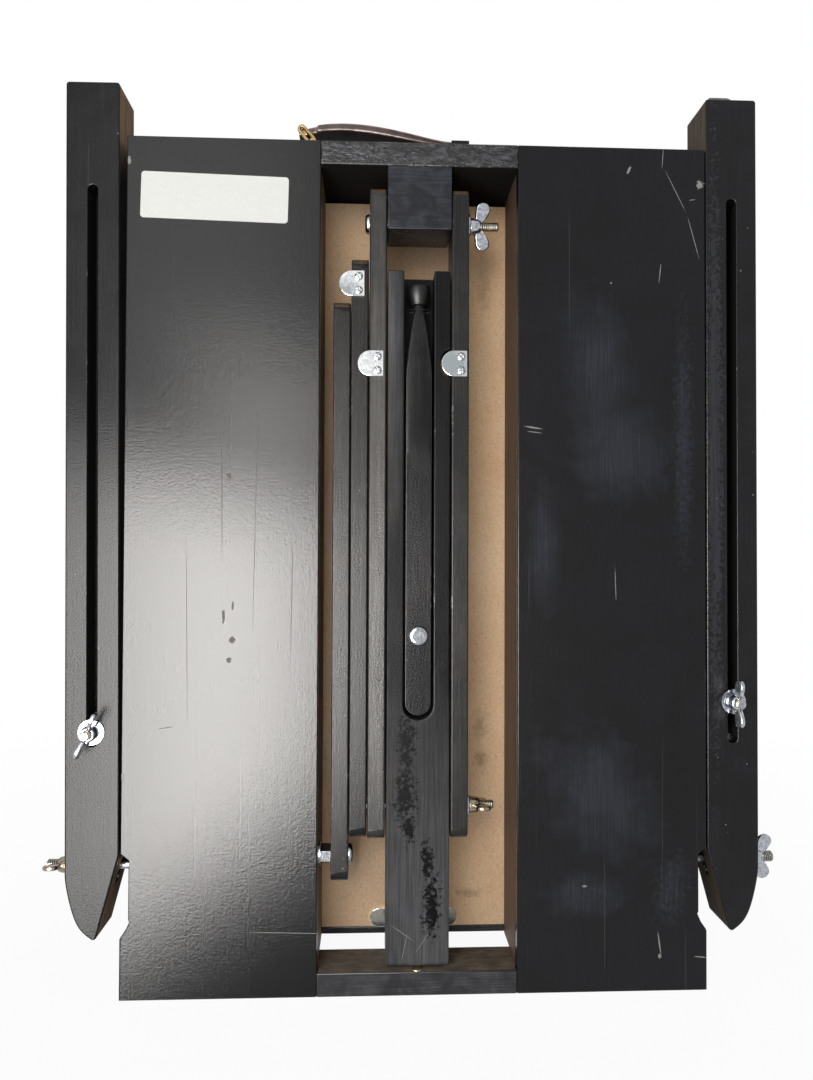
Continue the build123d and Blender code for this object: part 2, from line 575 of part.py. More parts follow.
upper_in = fork_out + LANE_GAP
upper_out = upper_in + STRUT_T
lower_in = upper_out + LANE_GAP
lower_out = lower_in + STRUT_T
nut_seat = fork_out + SEAT_GAP
nut_x = nut_seat + WASHER_T + SEAT_GAP
pivot_bolt_long = fork_out + SEAT_GAP + PIVOT_BOLT_OUT
pivot_bolt = along_x(-fork_out - SEAT_GAP, PIVOT_DEEP, FORK_PIVOT_Z) * dome_bolt(M5_R, pivot_bolt_long)
knee_head_h = 2.0
knee_head_x = -upper_out + 0.3 + knee_head_h
knee_bolt_long = KNEE_BOLT_OUT - knee_head_x
knee_bolt = along_x(knee_head_x, PIVOT_DEEP, KNEE_Z) * dome_bolt(M5_R, knee_bolt_long, 4.6, knee_head_h)
fork_washers = along_x(nut_seat, PIVOT_DEEP, FORK_PIVOT_Z) * washer(M5_R)
fork_washers += along_x(nut_seat, PIVOT_DEEP, KNEE_Z) * washer(M5_R)
save("fork_bolts", pivot_bolt, knee_bolt, fork_washers)
save("fork_pivot_wing_nut", along_x(nut_x, PIVOT_DEEP, FORK_PIVOT_Z) * wing_nut(M5_R, FORK_PIVOT_NUT_TURN))
save("knee_wing_nut", along_x(nut_x, PIVOT_DEEP, KNEE_Z) * wing_nut(M5_R, KNEE_NUT_TURN))

# Middle leg: grooved for the inner leg, with a notch that passes the right-hand keeper
mid_at = fork_at + 0.5
mid_deep = mid_at + MID_D
middle = block(-mid_half, mid_half, mid_at, mid_deep, MID_LOW, MID_HIGH)
middle = eased(middle)
low_edges = middle.edges().filter_by(Axis.X).group_by(Axis.Z)[0]
middle = fillet(low_edges, 3.0)
groove_deep = mid_at + TINE_GROOVE_D
middle -= slot_y(0, mid_at - 1, groove_deep, TINE_GROOVE_LOW, MID_HIGH + TINE_GROOVE_W, TINE_GROOVE_W)
web_low = INNER_BOLT_Z - WEB_SLOT_W / 2 - 0.3
web_high = INNER_BOLT_Z + INNER_TRAVEL + WEB_SLOT_W / 2 + 0.3
middle -= slot_y(0, groove_deep - 1, mid_deep + 1, web_low, web_high, WEB_SLOT_W)
middle -= knee_hole
tab_half = TAB_H / 2 + NOTCH_ROOM
tab_pass_z = FORK_TAB_Z + 0.5
pass_x = right_tab_x - NOTCH_ROOM
pass_low, pass_high = tab_pass_z - tab_half, tab_pass_z + tab_half + 0.6
passage = block(pass_x, mid_half + TAB_W, mid_at - 1, mid_deep + 1, pass_low, pass_high)
passage = fillet(passage.edges().filter_by(Axis.Y).sort_by(Axis.X)[:2], TAB_H / 2 - 0.1)
middle -= passage
save("middle_leg", middle)

# Inner leg: a square stick turned down to a neck, with a rubber foot
inner_at = mid_at + INNER_RECESS
inner_deep = inner_at + INNER_D
inner_half = INNER_W / 2
stick = block(-inner_half, inner_half, inner_at, inner_deep, INNER_LOW, NECK_Z + FOOT_SINK)
end_round = rod_y(0, inner_at, inner_deep, INNER_LOW + inner_half, inner_half)
stick -= block(-inner_half, inner_half, inner_at, inner_deep, INNER_LOW, INNER_LOW + inner_half)
stick += end_round
inner_axis_deep = (inner_at + inner_deep) / 2
neck_top = NECK_Z + FOOT_SINK
turning = [(0, INNER_LOW - 1), (NECK_TURNED[0][0], INNER_LOW - 1)]
turning += [(r, NECK_Z - under) for r, under in NECK_TURNED]
turning += [(NECK_R, neck_top), (0, neck_top)]
profile = make_face(Plane.XZ * Polyline(*turning, close=True))
turned = Pos(0, at_depth(inner_axis_deep), 0) * revolve(profile, axis=Axis.Z)
for outline, start, plane in ((NECK_SIDES, inner_half, Plane.XZ), (NECK_FACES, INNER_D / 2, Plane.YZ)):
    half = [(start, INNER_LOW - 1)] + [(out, NECK_Z - under) for out, under in outline]
    half.append((NECK_R, neck_top))
    whole = half + [(-out, z) for out, z in reversed(half)]
    sawn = extrude(plane * make_face(Polyline(*whole, close=True)), INNER_W, both=True)
    stick &= Pos(0, at_depth(inner_axis_deep), 0) * sawn
stick &= turned
stick -= rod_y(0, inner_at - 1, inner_deep + 1, INNER_BOLT_Z, M5_R + BOLT_GAP)
save("inner_leg", stick)
foot_line = Polyline((0, FOOT_H), (0, 0), FOOT_LINE[0]) + Spline(*FOOT_LINE, (0, FOOT_H))
foot = revolve(Plane.XZ * make_face(foot_line), axis=Axis.Z)
foot -= Cylinder(NECK_R + BOLT_GAP, 2 * FOOT_SINK + 0.2)
save("rear_foot", Pos(0, at_depth(inner_axis_deep), NECK_Z) * foot)
inner_bolt_long = mid_deep + WASHER_T + NUT_HUB_H + 4 - inner_at
inner_bolt = along_y(0, inner_at, INNER_BOLT_Z, 1) * dome_bolt(M5_R, inner_bolt_long)
inner_washer = along_y(0, mid_deep + SEAT_GAP, INNER_BOLT_Z, 1) * washer(M5_R)
save("inner_leg_bolt", inner_bolt, inner_washer)
inner_nut_at = mid_deep + 2 * SEAT_GAP + WASHER_T
save("inner_leg_wing_nut", along_y(0, inner_nut_at, INNER_BOLT_Z, 1) * wing_nut(M5_R, 35))

# Folding strut: the lower bar turns on the channel wall, the upper bar on the knee bolt
elbow_hole = rod_x(-lower_out - 1, -upper_in + 1, PIVOT_DEEP, ELBOW_Z, M5_R + BOLT_GAP)
lower_at = PIVOT_DEEP - STRUT_LOWER_D / 2
lower_bar = block(
    -lower_out, -lower_in, lower_at, lower_at + STRUT_LOWER_D, STRUT_PIVOT_Z - STRUT_LOWER_UNDER_PIVOT,
    ELBOW_Z + STRUT_LOWER_OVER_ELBOW,
)
strut_hole = rod_x(-half_channel, -fork_out, PIVOT_DEEP, STRUT_PIVOT_Z, M5_R + BOLT_GAP)
elbow_sink = rod_x(-lower_out - 1, -lower_out + RIVET_HEAD_H + 0.3, PIVOT_DEEP, ELBOW_Z, RIVET_HEAD_R + 0.2)
save("strut_lower_bar", soft_ends(lower_bar) - elbow_hole - strut_hole - elbow_sink)
upper_at = PIVOT_DEEP - STRUT_UPPER_D / 2
upper_bar = block(
    -upper_out, -upper_in, upper_at, upper_at + STRUT_UPPER_D, KNEE_Z - STRUT_UPPER_UNDER_KNEE,
    ELBOW_Z + STRUT_UPPER_OVER_ELBOW,
)
knee_sink = rod_x(-upper_out - 1, knee_head_x + 0.3, PIVOT_DEEP, KNEE_Z, 4.6 + 0.2)
save("strut_upper_bar", soft_ends(upper_bar) - elbow_hole - knee_hole - knee_sink)
save("strut_keeper_tab", *keeper_tab(-upper_in - 2.5 - TAB_W, upper_at, STRUT_TAB_Z))
elbow_rivet = rod_x(-lower_out + 0.3, -lower_in, PIVOT_DEEP, ELBOW_Z, M5_R)
elbow_rivet += rod_x(-lower_out + 0.3, -lower_out + 0.3 + RIVET_HEAD_H, PIVOT_DEEP, ELBOW_Z, RIVET_HEAD_R)
save("strut_elbow_rivet", elbow_rivet)

# Strut pivot bolt: from the strut through a nut and the channel wall
strut_bolt_long = wall_out + 4 - lower_in
strut_bolt = along_x(-lower_in + SEAT_GAP, PIVOT_DEEP, STRUT_PIVOT_Z, -1) * dome_bolt(M5_R, strut_bolt_long)
hex_nut = extrude(RegularPolygon(6.2, 6), half_channel - lower_out - 2 * SEAT_GAP - WASHER_T)
hex_nut -= Cylinder(M5_R + BOLT_GAP, 40)
nut_place = along_x(-lower_out - SEAT_GAP, PIVOT_DEEP, STRUT_PIVOT_Z, -1)
washer_place = along_x(-half_channel + WASHER_T, PIVOT_DEEP, STRUT_PIVOT_Z, -1)
save("strut_pivot_fasteners", strut_bolt, nut_place * hex_nut, washer_place * washer(M5_R))

# Front legs, drawn for the right-hand side
leg_in = half_w + LEG_GAP
leg_out = leg_in + LEG_W
leg_at = -LEG_PROUD
leg_deep = leg_at + LEG_D
leg_mid = (leg_in + leg_out) / 2
tip = (leg_in + LEG_TIP_IN, LEG_TIP_Z)
leg_line = Polyline((leg_out, LEG_ROUND_Z), (leg_out, LEG_TOP), (leg_in, LEG_TOP), (leg_in, LEG_SLANT_Z), tip)
round_points = [(leg_out, LEG_ROUND_Z)] + [(leg_out - inwards, z) for inwards, z in LEG_ROUND] + [tip]
leg_curve = Spline(*round_points, tangents=((0, -1), (-0.8, -0.6)))
leg_face = Plane.XZ * make_face(leg_line + leg_curve)
outer_leg = Pos(0, at_depth(leg_at), 0) * extrude(leg_face, -LEG_D)
tip_edge = outer_leg.edges().filter_by(Axis.Y).sort_by(Axis.Z)[0]
outer_leg = fillet(tip_edge, LEG_TIP_R)
outer_leg = fillet(outer_leg.edges().filter_by(Axis.Y).sort_by(Axis.Z)[-2:], LEG_CORNER_R)
long_edges = outer_leg.edges().filter_by(Axis.Z).filter_by(lambda e: e.length > LEG_TOP / 2)
outer_leg = fillet(long_edges, 1.0)
web_deep = leg_deep - LOWER_D - 2 * LOWER_GAP
outer_leg -= slot_y(leg_mid, leg_at - 1, web_deep + 1, LEG_SLOT_LOW, LEG_SLOT_HIGH, LEG_SLOT_W)
groove_half = LOWER_W / 2 + LOWER_GAP
outer_leg -= block(
    leg_mid - groove_half, leg_mid + groove_half, web_deep, leg_deep + 1, LOWER_LOW - RIGHT_OUT - 2, LEG_TOP + 1
)
# The bolt hole is round at the outer face and widens inwards, so that the leg can splay
splay_r = M6_R + 0.2
splay_point = (leg_out, at_depth(LEG_PIVOT_DEEP), LEG_PIVOT_Z)
splay_line = Axis(splay_point, (0, 1, 0))
reach = rod_x(leg_in - 8, leg_out, LEG_PIVOT_DEEP, LEG_PIVOT_Z, splay_r)
wedge_points = [(leg_out, LEG_PIVOT_Z)]
for lean in (1.2, -SPLAY - 0.8):
    far = LEG_W + 8
    wedge_points.append((leg_out - far * cos(radians(lean)), LEG_PIVOT_Z + far * sin(radians(lean))))
wedge_face = Plane.XZ * make_face(Polyline(*wedge_points, close=True))
wedge = Pos(0, at_depth(LEG_PIVOT_DEEP) - splay_r, 0) * extrude(wedge_face, -2 * splay_r)
for lean in (1.2, 0.0, -SPLAY - 0.8):
    wedge += reach.rotate(splay_line, lean)
outer_leg -= wedge
outer_leg -= rod_x(leg_out - 4, leg_out + 1, LEG_PIVOT_DEEP, LEG_PIVOT_Z, splay_r + 0.3)
# A bevelled seat lets the washer sit square when the leg is splayed
seat_half = WASHER_R + 1
seat_low, seat_high = LEG_PIVOT_Z - 1, LEG_PIVOT_Z + 12
seat = block(leg_out, leg_out + 6, LEG_PIVOT_DEEP - seat_half, LEG_PIVOT_DEEP + seat_half, seat_low, seat_high)
outer_leg -= seat.rotate(splay_line, -SPLAY - 0.5)

lower_at_d = leg_deep - LOWER_D - LOWER_GAP
lower_leg = block(
    leg_mid - LOWER_W / 2, leg_mid + LOWER_W / 2, lower_at_d, lower_at_d + LOWER_D, LOWER_LOW, LOWER_TOP
)
lower_leg = fillet(lower_leg.faces().sort_by(Axis.Z)[-1].edges(), 5.0)
clamp_head_d = 3.0
leg_clamp_hole = rod_y(leg_mid, lower_at_d - 1, leg_deep + 1, LOWER_BOLT_Z, M5_R + BOLT_GAP)
leg_clamp_hole += rod_y(leg_mid, leg_deep - LOWER_GAP - clamp_head_d, leg_deep + 1, LOWER_BOLT_Z, HEAD_R)
lower_leg -= leg_clamp_hole
clamp_bolt_long = leg_deep - LOWER_GAP - HEAD_H - leg_at + WASHER_T + NUT_HUB_H + 4.6
leg_bolt = along_y(leg_mid, leg_deep - LOWER_GAP - HEAD_H, LOWER_BOLT_Z) * dome_bolt(M5_R, clamp_bolt_long, 5.6)
leg_washer = along_y(leg_mid, leg_at - SEAT_GAP, LOWER_BOLT_Z) * washer(M5_R)
leg_nut_place = along_y(leg_mid, leg_at - 2 * SEAT_GAP - WASHER_T, LOWER_BOLT_Z)
leg_nut_right = leg_nut_place * wing_nut(M5_R, 90 + RIGHT_NUT_TURN)
leg_nut_left = mirror_x(leg_nut_place * wing_nut(M5_R, LEFT_NUT_TURN))

pivot_head_x = inner_w - 0.2
pivot_long = leg_out + 15.4 - pivot_head_x
leg_pivot = along_x(pivot_head_x, LEG_PIVOT_DEEP, LEG_PIVOT_Z) * dome_bolt(M6_R, pivot_long, 5.7)
leg_pivot_washer = along_x(leg_out + SEAT_GAP, LEG_PIVOT_DEEP, LEG_PIVOT_Z) * washer(M6_R)
pivot_nut_place = along_x(leg_out + 2 * SEAT_GAP + WASHER_T, LEG_PIVOT_DEEP, LEG_PIVOT_Z)

front_legs = (("right", lambda shape: shape, RIGHT_OUT, 0.0), ("left", mirror_x, 0.0, LEFT_LEAN))
for side_name, place, slide, lean in front_legs:
    sign = 1 if side_name == "right" else -1
    lean_line = Axis((sign * leg_out, at_depth(LEG_PIVOT_DEEP), LEG_PIVOT_Z), (0, 1, 0))

    def leaned(piece):
        return piece.rotate(lean_line, sign * lean) if lean else piece

    out = Pos(0, 0, slide)
    save(f"leg_outer_{side_name}", leaned(place(outer_leg)))
    save(f"leg_lower_{side_name}", leaned(place(out * lower_leg)))
    save(f"leg_clamp_bolt_{side_name}", leaned(place(out * leg_bolt)), leaned(place(out * leg_washer)))
    nut = out * (leg_nut_right if side_name == "right" else leg_nut_left)
    save(f"leg_clamp_wing_nut_{side_name}", leaned(nut))
    save(f"leg_pivot_bolt_{side_name}", place(leg_pivot), place(leg_pivot_washer))
    pivot_turn = 8 if side_name == "right" else 80
    save(f"leg_pivot_wing_nut_{side_name}", place(pivot_nut_place * wing_nut(M6_R, pivot_turn)))

# Handle: brackets on the rear end, a slotted wire link at the left and a bowed leather strap
handle_out = HANDLE_AT + HANDLE_W
link_side = LINK_WIRE + RUN_GAP
strap_line = Spline(*STRAP_TOP) + Line(STRAP_TOP[-1], STRAP_UNDER[-1])
strap_line += Spline(*STRAP_UNDER[::-1]) + Line(STRAP_UNDER[0], STRAP_TOP[0])
strap = Pos(0, at_depth(HANDLE_AT), 0) * extrude(Plane.XZ * make_face(strap_line), -HANDLE_W)
for d in (HANDLE_AT - 1, handle_out - link_side):
    strap -= block(STRAP_LEFT - 1, LINK_FOOT[0] + LINK_ROOM, d, d + link_side + 1, CASE_H, CASE_H + 20)
strap -= rod_y(STRAP_PIN[0], HANDLE_AT - 1, handle_out + 1, STRAP_PIN[1], STRAP_PIN_R + BOLT_GAP)
save("handle_strap", strap)
cap_x = LINK_PIN[0] - 2.0
cap_low, cap_high = STRAP_UNDER[0][1], STRAP_TOP[0][1]
end_cap = block(cap_x, STRAP_LEFT, HANDLE_AT + link_side, handle_out - link_side, cap_low, cap_high)
end_pin = rod_y(LINK_PIN[0], HANDLE_AT, handle_out, LINK_PIN[1], HANDLE_PIN_R)
save("handle_end_cap", end_cap + end_pin)
rise_x, rise_z = LINK_PIN[0] - LINK_FOOT[0], LINK_PIN[1] - LINK_FOOT[1]
link_long = (rise_x**2 + rise_z**2) ** 0.5
link_turn = -degrees(atan2(rise_x, rise_z))
ring = SlotCenterToCenter(link_long, LINK_GAP + 2 * LINK_WIRE) - SlotCenterToCenter(link_long, LINK_GAP)
flat_ring = Rot(0, 0, 90 + link_turn) * ring
link = None
for d in (HANDLE_AT, handle_out - LINK_WIRE):
    middle_of_link = ((LINK_PIN[0] + LINK_FOOT[0]) / 2, (LINK_PIN[1] + LINK_FOOT[1]) / 2)
    loop = Pos(0, at_depth(d), 0) * extrude(Plane.XZ * (Pos(*middle_of_link) * flat_ring), -LINK_WIRE)
    link = loop if link is None else link + loop
save("handle_link", link + rod_y(LINK_FOOT[0], HANDLE_AT, handle_out, LINK_FOOT[1], LINK_GAP / 2 + 0.2))

# The left bracket is a barrel for the link's foot bar; the right one has two ears and a pin
foot_bore = rod_y(LINK_FOOT[0], HANDLE_AT, handle_out, LINK_FOOT[1], LINK_GAP / 2 + 0.2 + BOLT_GAP)
saddle_from, saddle_to = HANDLE_AT + SADDLE_IN, handle_out - SADDLE_IN
saddle_x = LINK_FOOT[0]
saddle = block(saddle_x - 2.6, saddle_x + 2.6, saddle_from, saddle_to, CASE_H, LINK_FOOT[1] + 0.4)
saddle += rod_y(saddle_x, saddle_from, saddle_to, LINK_FOOT[1], SADDLE_R)
below_board = block(saddle_x - 20, saddle_x + 20, 0, CASE_D, CASE_H - 10, CASE_H)
saddle = (saddle - foot_bore) - below_board
ear_out = HANDLE_AT - EAR_T - RUN_GAP
ear_deep = handle_out + EAR_T + RUN_GAP
ear_top = CASE_H + EAR_H
ear_left = STRAP_PIN[0] - 2.5
ears = block(ear_left, EAR_RIGHT, ear_out, HANDLE_AT - RUN_GAP, CASE_H, ear_top)
ears += block(ear_left, EAR_RIGHT, handle_out + RUN_GAP, ear_deep, CASE_H, ear_top)
ears += block(STRAP_RIGHT + EAR_ROOM, EAR_RIGHT, ear_out, ear_deep, CASE_H, ear_top)
strap_pin = rod_y(STRAP_PIN[0], ear_out, ear_deep, STRAP_PIN[1], STRAP_PIN_R)
save("handle_brackets", saddle, ears + strap_pin)
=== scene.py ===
import json
import math

import bmesh
import bpy
from mathutils import Matrix, Vector


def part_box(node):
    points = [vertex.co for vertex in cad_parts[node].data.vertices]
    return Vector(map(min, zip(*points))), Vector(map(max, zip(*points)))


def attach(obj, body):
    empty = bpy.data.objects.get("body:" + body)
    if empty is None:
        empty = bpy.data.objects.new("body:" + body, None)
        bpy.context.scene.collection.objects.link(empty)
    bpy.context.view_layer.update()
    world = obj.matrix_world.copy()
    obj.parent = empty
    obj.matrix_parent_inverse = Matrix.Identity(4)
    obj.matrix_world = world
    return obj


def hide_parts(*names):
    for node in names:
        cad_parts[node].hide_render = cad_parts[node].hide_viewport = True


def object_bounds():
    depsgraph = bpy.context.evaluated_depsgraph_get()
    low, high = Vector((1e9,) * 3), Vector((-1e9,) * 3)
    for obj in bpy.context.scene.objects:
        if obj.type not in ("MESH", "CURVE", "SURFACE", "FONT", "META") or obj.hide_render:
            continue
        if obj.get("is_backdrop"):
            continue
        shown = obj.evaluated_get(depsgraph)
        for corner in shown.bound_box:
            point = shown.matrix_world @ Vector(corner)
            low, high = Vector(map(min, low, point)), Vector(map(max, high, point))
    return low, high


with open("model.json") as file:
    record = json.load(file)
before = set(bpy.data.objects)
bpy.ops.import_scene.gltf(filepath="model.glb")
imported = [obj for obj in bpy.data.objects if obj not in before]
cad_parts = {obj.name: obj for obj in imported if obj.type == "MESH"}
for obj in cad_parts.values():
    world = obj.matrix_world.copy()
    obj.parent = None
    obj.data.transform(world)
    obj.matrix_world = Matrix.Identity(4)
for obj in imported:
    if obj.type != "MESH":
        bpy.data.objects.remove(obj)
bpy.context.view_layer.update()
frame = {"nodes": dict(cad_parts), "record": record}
nodes = frame["nodes"]
body_of = {}
for body, group in frame["record"]["behaviour"]["bodies"].items():
    for node in group:
        body_of[node] = body

# Underside panels: two birch plywood sheets, glued and pinned to the case and brushed with
# satin black enamel. The brush left fine streaks along the grain, and the enamel is hazed by
# handling and scratched where the box has been set down.
UNDERSIDE_Y = -0.0695
BLACK_ENAMEL = "#0A0A0C"


def linear(code):
    values = [int(code[i : i + 2], 16) / 255 for i in (1, 3, 5)]
    return tuple(v / 12.92 if v <= 0.04045 else ((v + 0.055) / 1.055) ** 2.4 for v in values) + (1.0,)


def add(tree, kind, settings=None, **inputs):
    # Adds one node. A setting goes on the node, and an input is a value or another node's output.
    node = tree.nodes.new(kind)
    for name, value in (settings or {}).items():
        setattr(node, name, value)
    for name, value in inputs.items():
        socket = node.inputs[int(name[1:])] if name[1:].isdigit() else node.inputs[name.replace("_", " ")]
        if isinstance(value, bpy.types.NodeSocket):
            tree.links.new(value, socket)
        else:
            socket.default_value = value
    return node


def new_material(name):
    # The material, its tree, and the place on the piece in metres that all its patterns start from.
    material = bpy.data.materials.new(name)
    material.use_nodes = True
    tree = material.node_tree
    tree.nodes.clear()
    return material, tree, add(tree, "ShaderNodeTexCoord").outputs["Object"]


def ramp(tree, value, stops):
    node = add(tree, "ShaderNodeValToRGB", Fac=value)
    bar = node.color_ramp
    while len(bar.elements) < len(stops):
        bar.elements.new(0.5)
    for element, (place, colour) in zip(bar.elements, stops):
        element.position = place
        element.color = colour if isinstance(colour, tuple) else (colour, colour, colour, 1.0)
    return node.outputs["Color"]


def grain_lines(tree, place, stretch, spacing_mm, detail=4, roughness=0.7):
    # Streaks that run along a board: the noise is drawn out along the board's length.
    along = add(tree, "ShaderNodeMapping", Vector=place, Scale=stretch).outputs[0]
    noise = add(
        tree, "ShaderNodeTexNoise", Vector=along, Scale=1000 / spacing_mm, Detail=detail, Roughness=roughness
    )
    return noise.outputs[0]


def mark(tree, place, centre, half, tilt=0.0, ragged=0.3, fleck_mm=3.0, soft=0.3):
    # An oval with a torn or a soft rim, seen from the front: millimetres in X and Z, degrees.
    turned = add(
        tree,
        "ShaderNodeMapping",
        {"vector_type": "TEXTURE"},
        Vector=place,
        Location=(centre[0] / 1000, 0, centre[1] / 1000),
        Rotation=(0, math.radians(tilt), 0),
        Scale=(half[0] / 1000, 1e6, half[1] / 1000),
    )
    away = add(tree, "ShaderNodeVectorMath", {"operation": "LENGTH"}, _0=turned.outputs[0]).outputs["Value"]
    fleck = add(tree, "ShaderNodeTexNoise", Vector=place, Scale=1000 / fleck_mm, Detail=4, Roughness=0.6)
    torn = add(
        tree, "ShaderNodeMath", {"operation": "MULTIPLY_ADD"}, _0=fleck.outputs[0], _1=-4 * ragged, _2=away
    )
    rim = 1.0 - 2 * ragged
    inside = add(tree, "ShaderNodeMapRange", Value=torn.outputs[0], _1=rim, _2=rim - soft, _3=0.0, _4=1.0)
    return inside.outputs[0]


def marked(tree, place, marks):
    total = None
    for settings in marks:
        spot = mark(tree, place, **settings)
        if total is not None:
            spot = add(tree, "ShaderNodeMath", {"operation": "MAXIMUM"}, _0=total, _1=spot).outputs[0]
        total = spot
    return total


def blended(tree, share, first, second):
    mixed = add(tree, "ShaderNodeMix", {"data_type": "RGBA"}, _0=share, _6=first, _7=second)
    return mixed.outputs[2]


def satin_enamel(
    name, haze="#34353B", bloom=0.2, cloud_mm=70, grain="Z", rough=0.24, specks=0.03, ior=1.29,
    dust_and_sheen_marks=(), black=(), dull=(), pale=(),
):
    # Brushed alkyd enamel: streaks 1.2 mm apart and 40 mm long (drawn twice as coarse as real
    # ones, to show), a fine orange peel, a haze of dust in soft clouds, hairline scratches along
    # the grain, and half-millimetre chips 7 mm apart where specks lets them be. Listed marks add
    # to the haze: smears of dust, and on the fork a painted sheen.
    material, tree, place = new_material(name)
    stretch = {"Z": (1, 1, 0.03), "X": (0.03, 1, 1)}[grain]
    brush = grain_lines(tree, place, stretch, 1.2)
    streak = ramp(tree, brush, [(0.40, 0.55), (0.62, 1.0)])
    hair = grain_lines(tree, place, tuple(v if v == 1 else 0.012 for v in stretch), 2.6, detail=2)
    scored = ramp(tree, hair, [(0.70, 0.0), (0.74, 0.45)])
    cloud = add(
        tree, "ShaderNodeTexNoise", Vector=place, Scale=1000 / cloud_mm, Detail=6, Roughness=0.6,
        Distortion=1.4,
    )
    peel = add(tree, "ShaderNodeTexNoise", Vector=place, Scale=900, Detail=3, Roughness=0.6).outputs[0]
    dust_and_sheen = ramp(tree, cloud.outputs[0], [(0.40, 0.3 * bloom), (0.72, bloom)])
    # Listed marks lighten the haze: dust smears, and on the fork bar a painted sheen.
    if dust_and_sheen_marks:
        smear_and_sheen = marked(tree, place, dust_and_sheen_marks)
        dust_and_sheen = add(tree, "ShaderNodeMath", {"operation": "MULTIPLY_ADD"}, _0=smear_and_sheen, _1=0.45, _2=dust_and_sheen)
        dust_and_sheen = dust_and_sheen.outputs[0]
    dust_and_sheen = add(tree, "ShaderNodeMath", {"operation": "MULTIPLY"}, _0=dust_and_sheen, _1=streak).outputs[0]
    if black:
        spots = marked(tree, place, black)
        kept = add(tree, "ShaderNodeMath", {"operation": "SUBTRACT"}, _0=1.0, _1=spots).outputs[0]
        dust_and_sheen = add(tree, "ShaderNodeMath", {"operation": "MULTIPLY"}, _0=dust_and_sheen, _1=kept).outputs[0]
    colour = blended(tree, dust_and_sheen, linear(BLACK_ENAMEL), linear(haze))
    colour = blended(tree, scored, colour, linear("#4C4C4D"))
    cells = add(tree, "ShaderNodeTexVoronoi", Vector=place, Scale=1000 / 7)
    rare = 0.78 - 2.2 * specks
    chosen = ramp(tree, cells.outputs["Color"], [(rare, 0.0), (rare + 0.01, 1.0)])
    dot = ramp(tree, cells.outputs["Distance"], [(0.045, 1.0), (0.065, 0.0)])
    chips = add(tree, "ShaderNodeMath", {"operation": "MULTIPLY"}, _0=chosen, _1=dot).outputs[0]
    if pale:
        worn = marked(tree, place, pale)
        chips = add(tree, "ShaderNodeMath", {"operation": "MAXIMUM"}, _0=chips, _1=worn).outputs[0]
    colour = blended(tree, chips, colour, linear("#8F8E88"))
    gloss = add(tree, "ShaderNodeMath", {"operation": "MULTIPLY_ADD"}, _0=brush, _1=0.06, _2=rough - 0.03)
    gloss = add(tree, "ShaderNodeMath", {"operation": "MULTIPLY_ADD"}, _0=dust_and_sheen, _1=0.10, _2=gloss.outputs[0])
    gloss = add(tree, "ShaderNodeMath", {"operation": "MULTIPLY_ADD"}, _0=chips, _1=0.4, _2=gloss.outputs[0])
    gloss = gloss.outputs[0]
    if dull:
        bruises = marked(tree, place, dull)
        colour = blended(tree, bruises, colour, linear("#2A2622"))
        gloss = add(tree, "ShaderNodeMath", {"operation": "MULTIPLY_ADD"}, _0=bruises, _1=0.45, _2=gloss)
        gloss = gloss.outputs[0]
    bump = add(tree, "ShaderNodeBump", Height=brush, Strength=0.20, Distance=0.0003).outputs[0]
    bump = add(tree, "ShaderNodeBump", Height=peel, Strength=0.36, Distance=0.0004, Normal=bump).outputs[0]
    shader = add(tree, "ShaderNodeBsdfPrincipled", Base_Color=colour, Roughness=gloss, Normal=bump, IOR=ior)
    add(tree, "ShaderNodeOutputMaterial", Surface=shader.outputs[0])
    return material


def worn_edge(name, share=0.2, fleck_mm=2.5, rubbed="#1D1D1E", shade="#75726A"):
    # The strip along an edge: the black is thinned by rubbing, and knocks have chipped it down
    # to primer and wood in flecks of 2 or 3 mm.
    material, tree, place = new_material(name)
    chip = add(tree, "ShaderNodeTexNoise", Vector=place, Scale=1000 / fleck_mm, Detail=5, Roughness=0.7)
    run = add(tree, "ShaderNodeTexNoise", Vector=place, Scale=1000 / 35, Detail=2).outputs[0]
    both = add(tree, "ShaderNodeMath", {"operation": "MULTIPLY_ADD"}, _0=run, _1=0.9, _2=chip.outputs[0])
    start = 1.17 - 0.25 * share
    gone = add(tree, "ShaderNodeMapRange", Value=both.outputs[0], _1=start, _2=start + 0.08).outputs[0]
    colour = blended(tree, gone, linear(rubbed), linear(shade))
    bump = add(tree, "ShaderNodeBump", Height=chip.outputs[0], Strength=0.3, Distance=0.0005).outputs[0]
    shader = add(tree, "ShaderNodeBsdfPrincipled", Base_Color=colour, Roughness=0.42, Normal=bump, IOR=1.3)
    add(tree, "ShaderNodeOutputMaterial", Surface=shader.outputs[0])
    return material


def add_piece(name, mesh, materials, node=None, body=None):
    data = bpy.data.meshes.new(name)
    mesh.to_mesh(data)
    mesh.free()
    for material in materials:
        data.materials.append(material)
    piece = bpy.data.objects.new(name, data)
    bpy.context.scene.collection.objects.link(piece)
    if node:
        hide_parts(node)
    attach(piece, body or body_of[node])
    return piece


SHARP, BLUNT = 0.6, 0.42


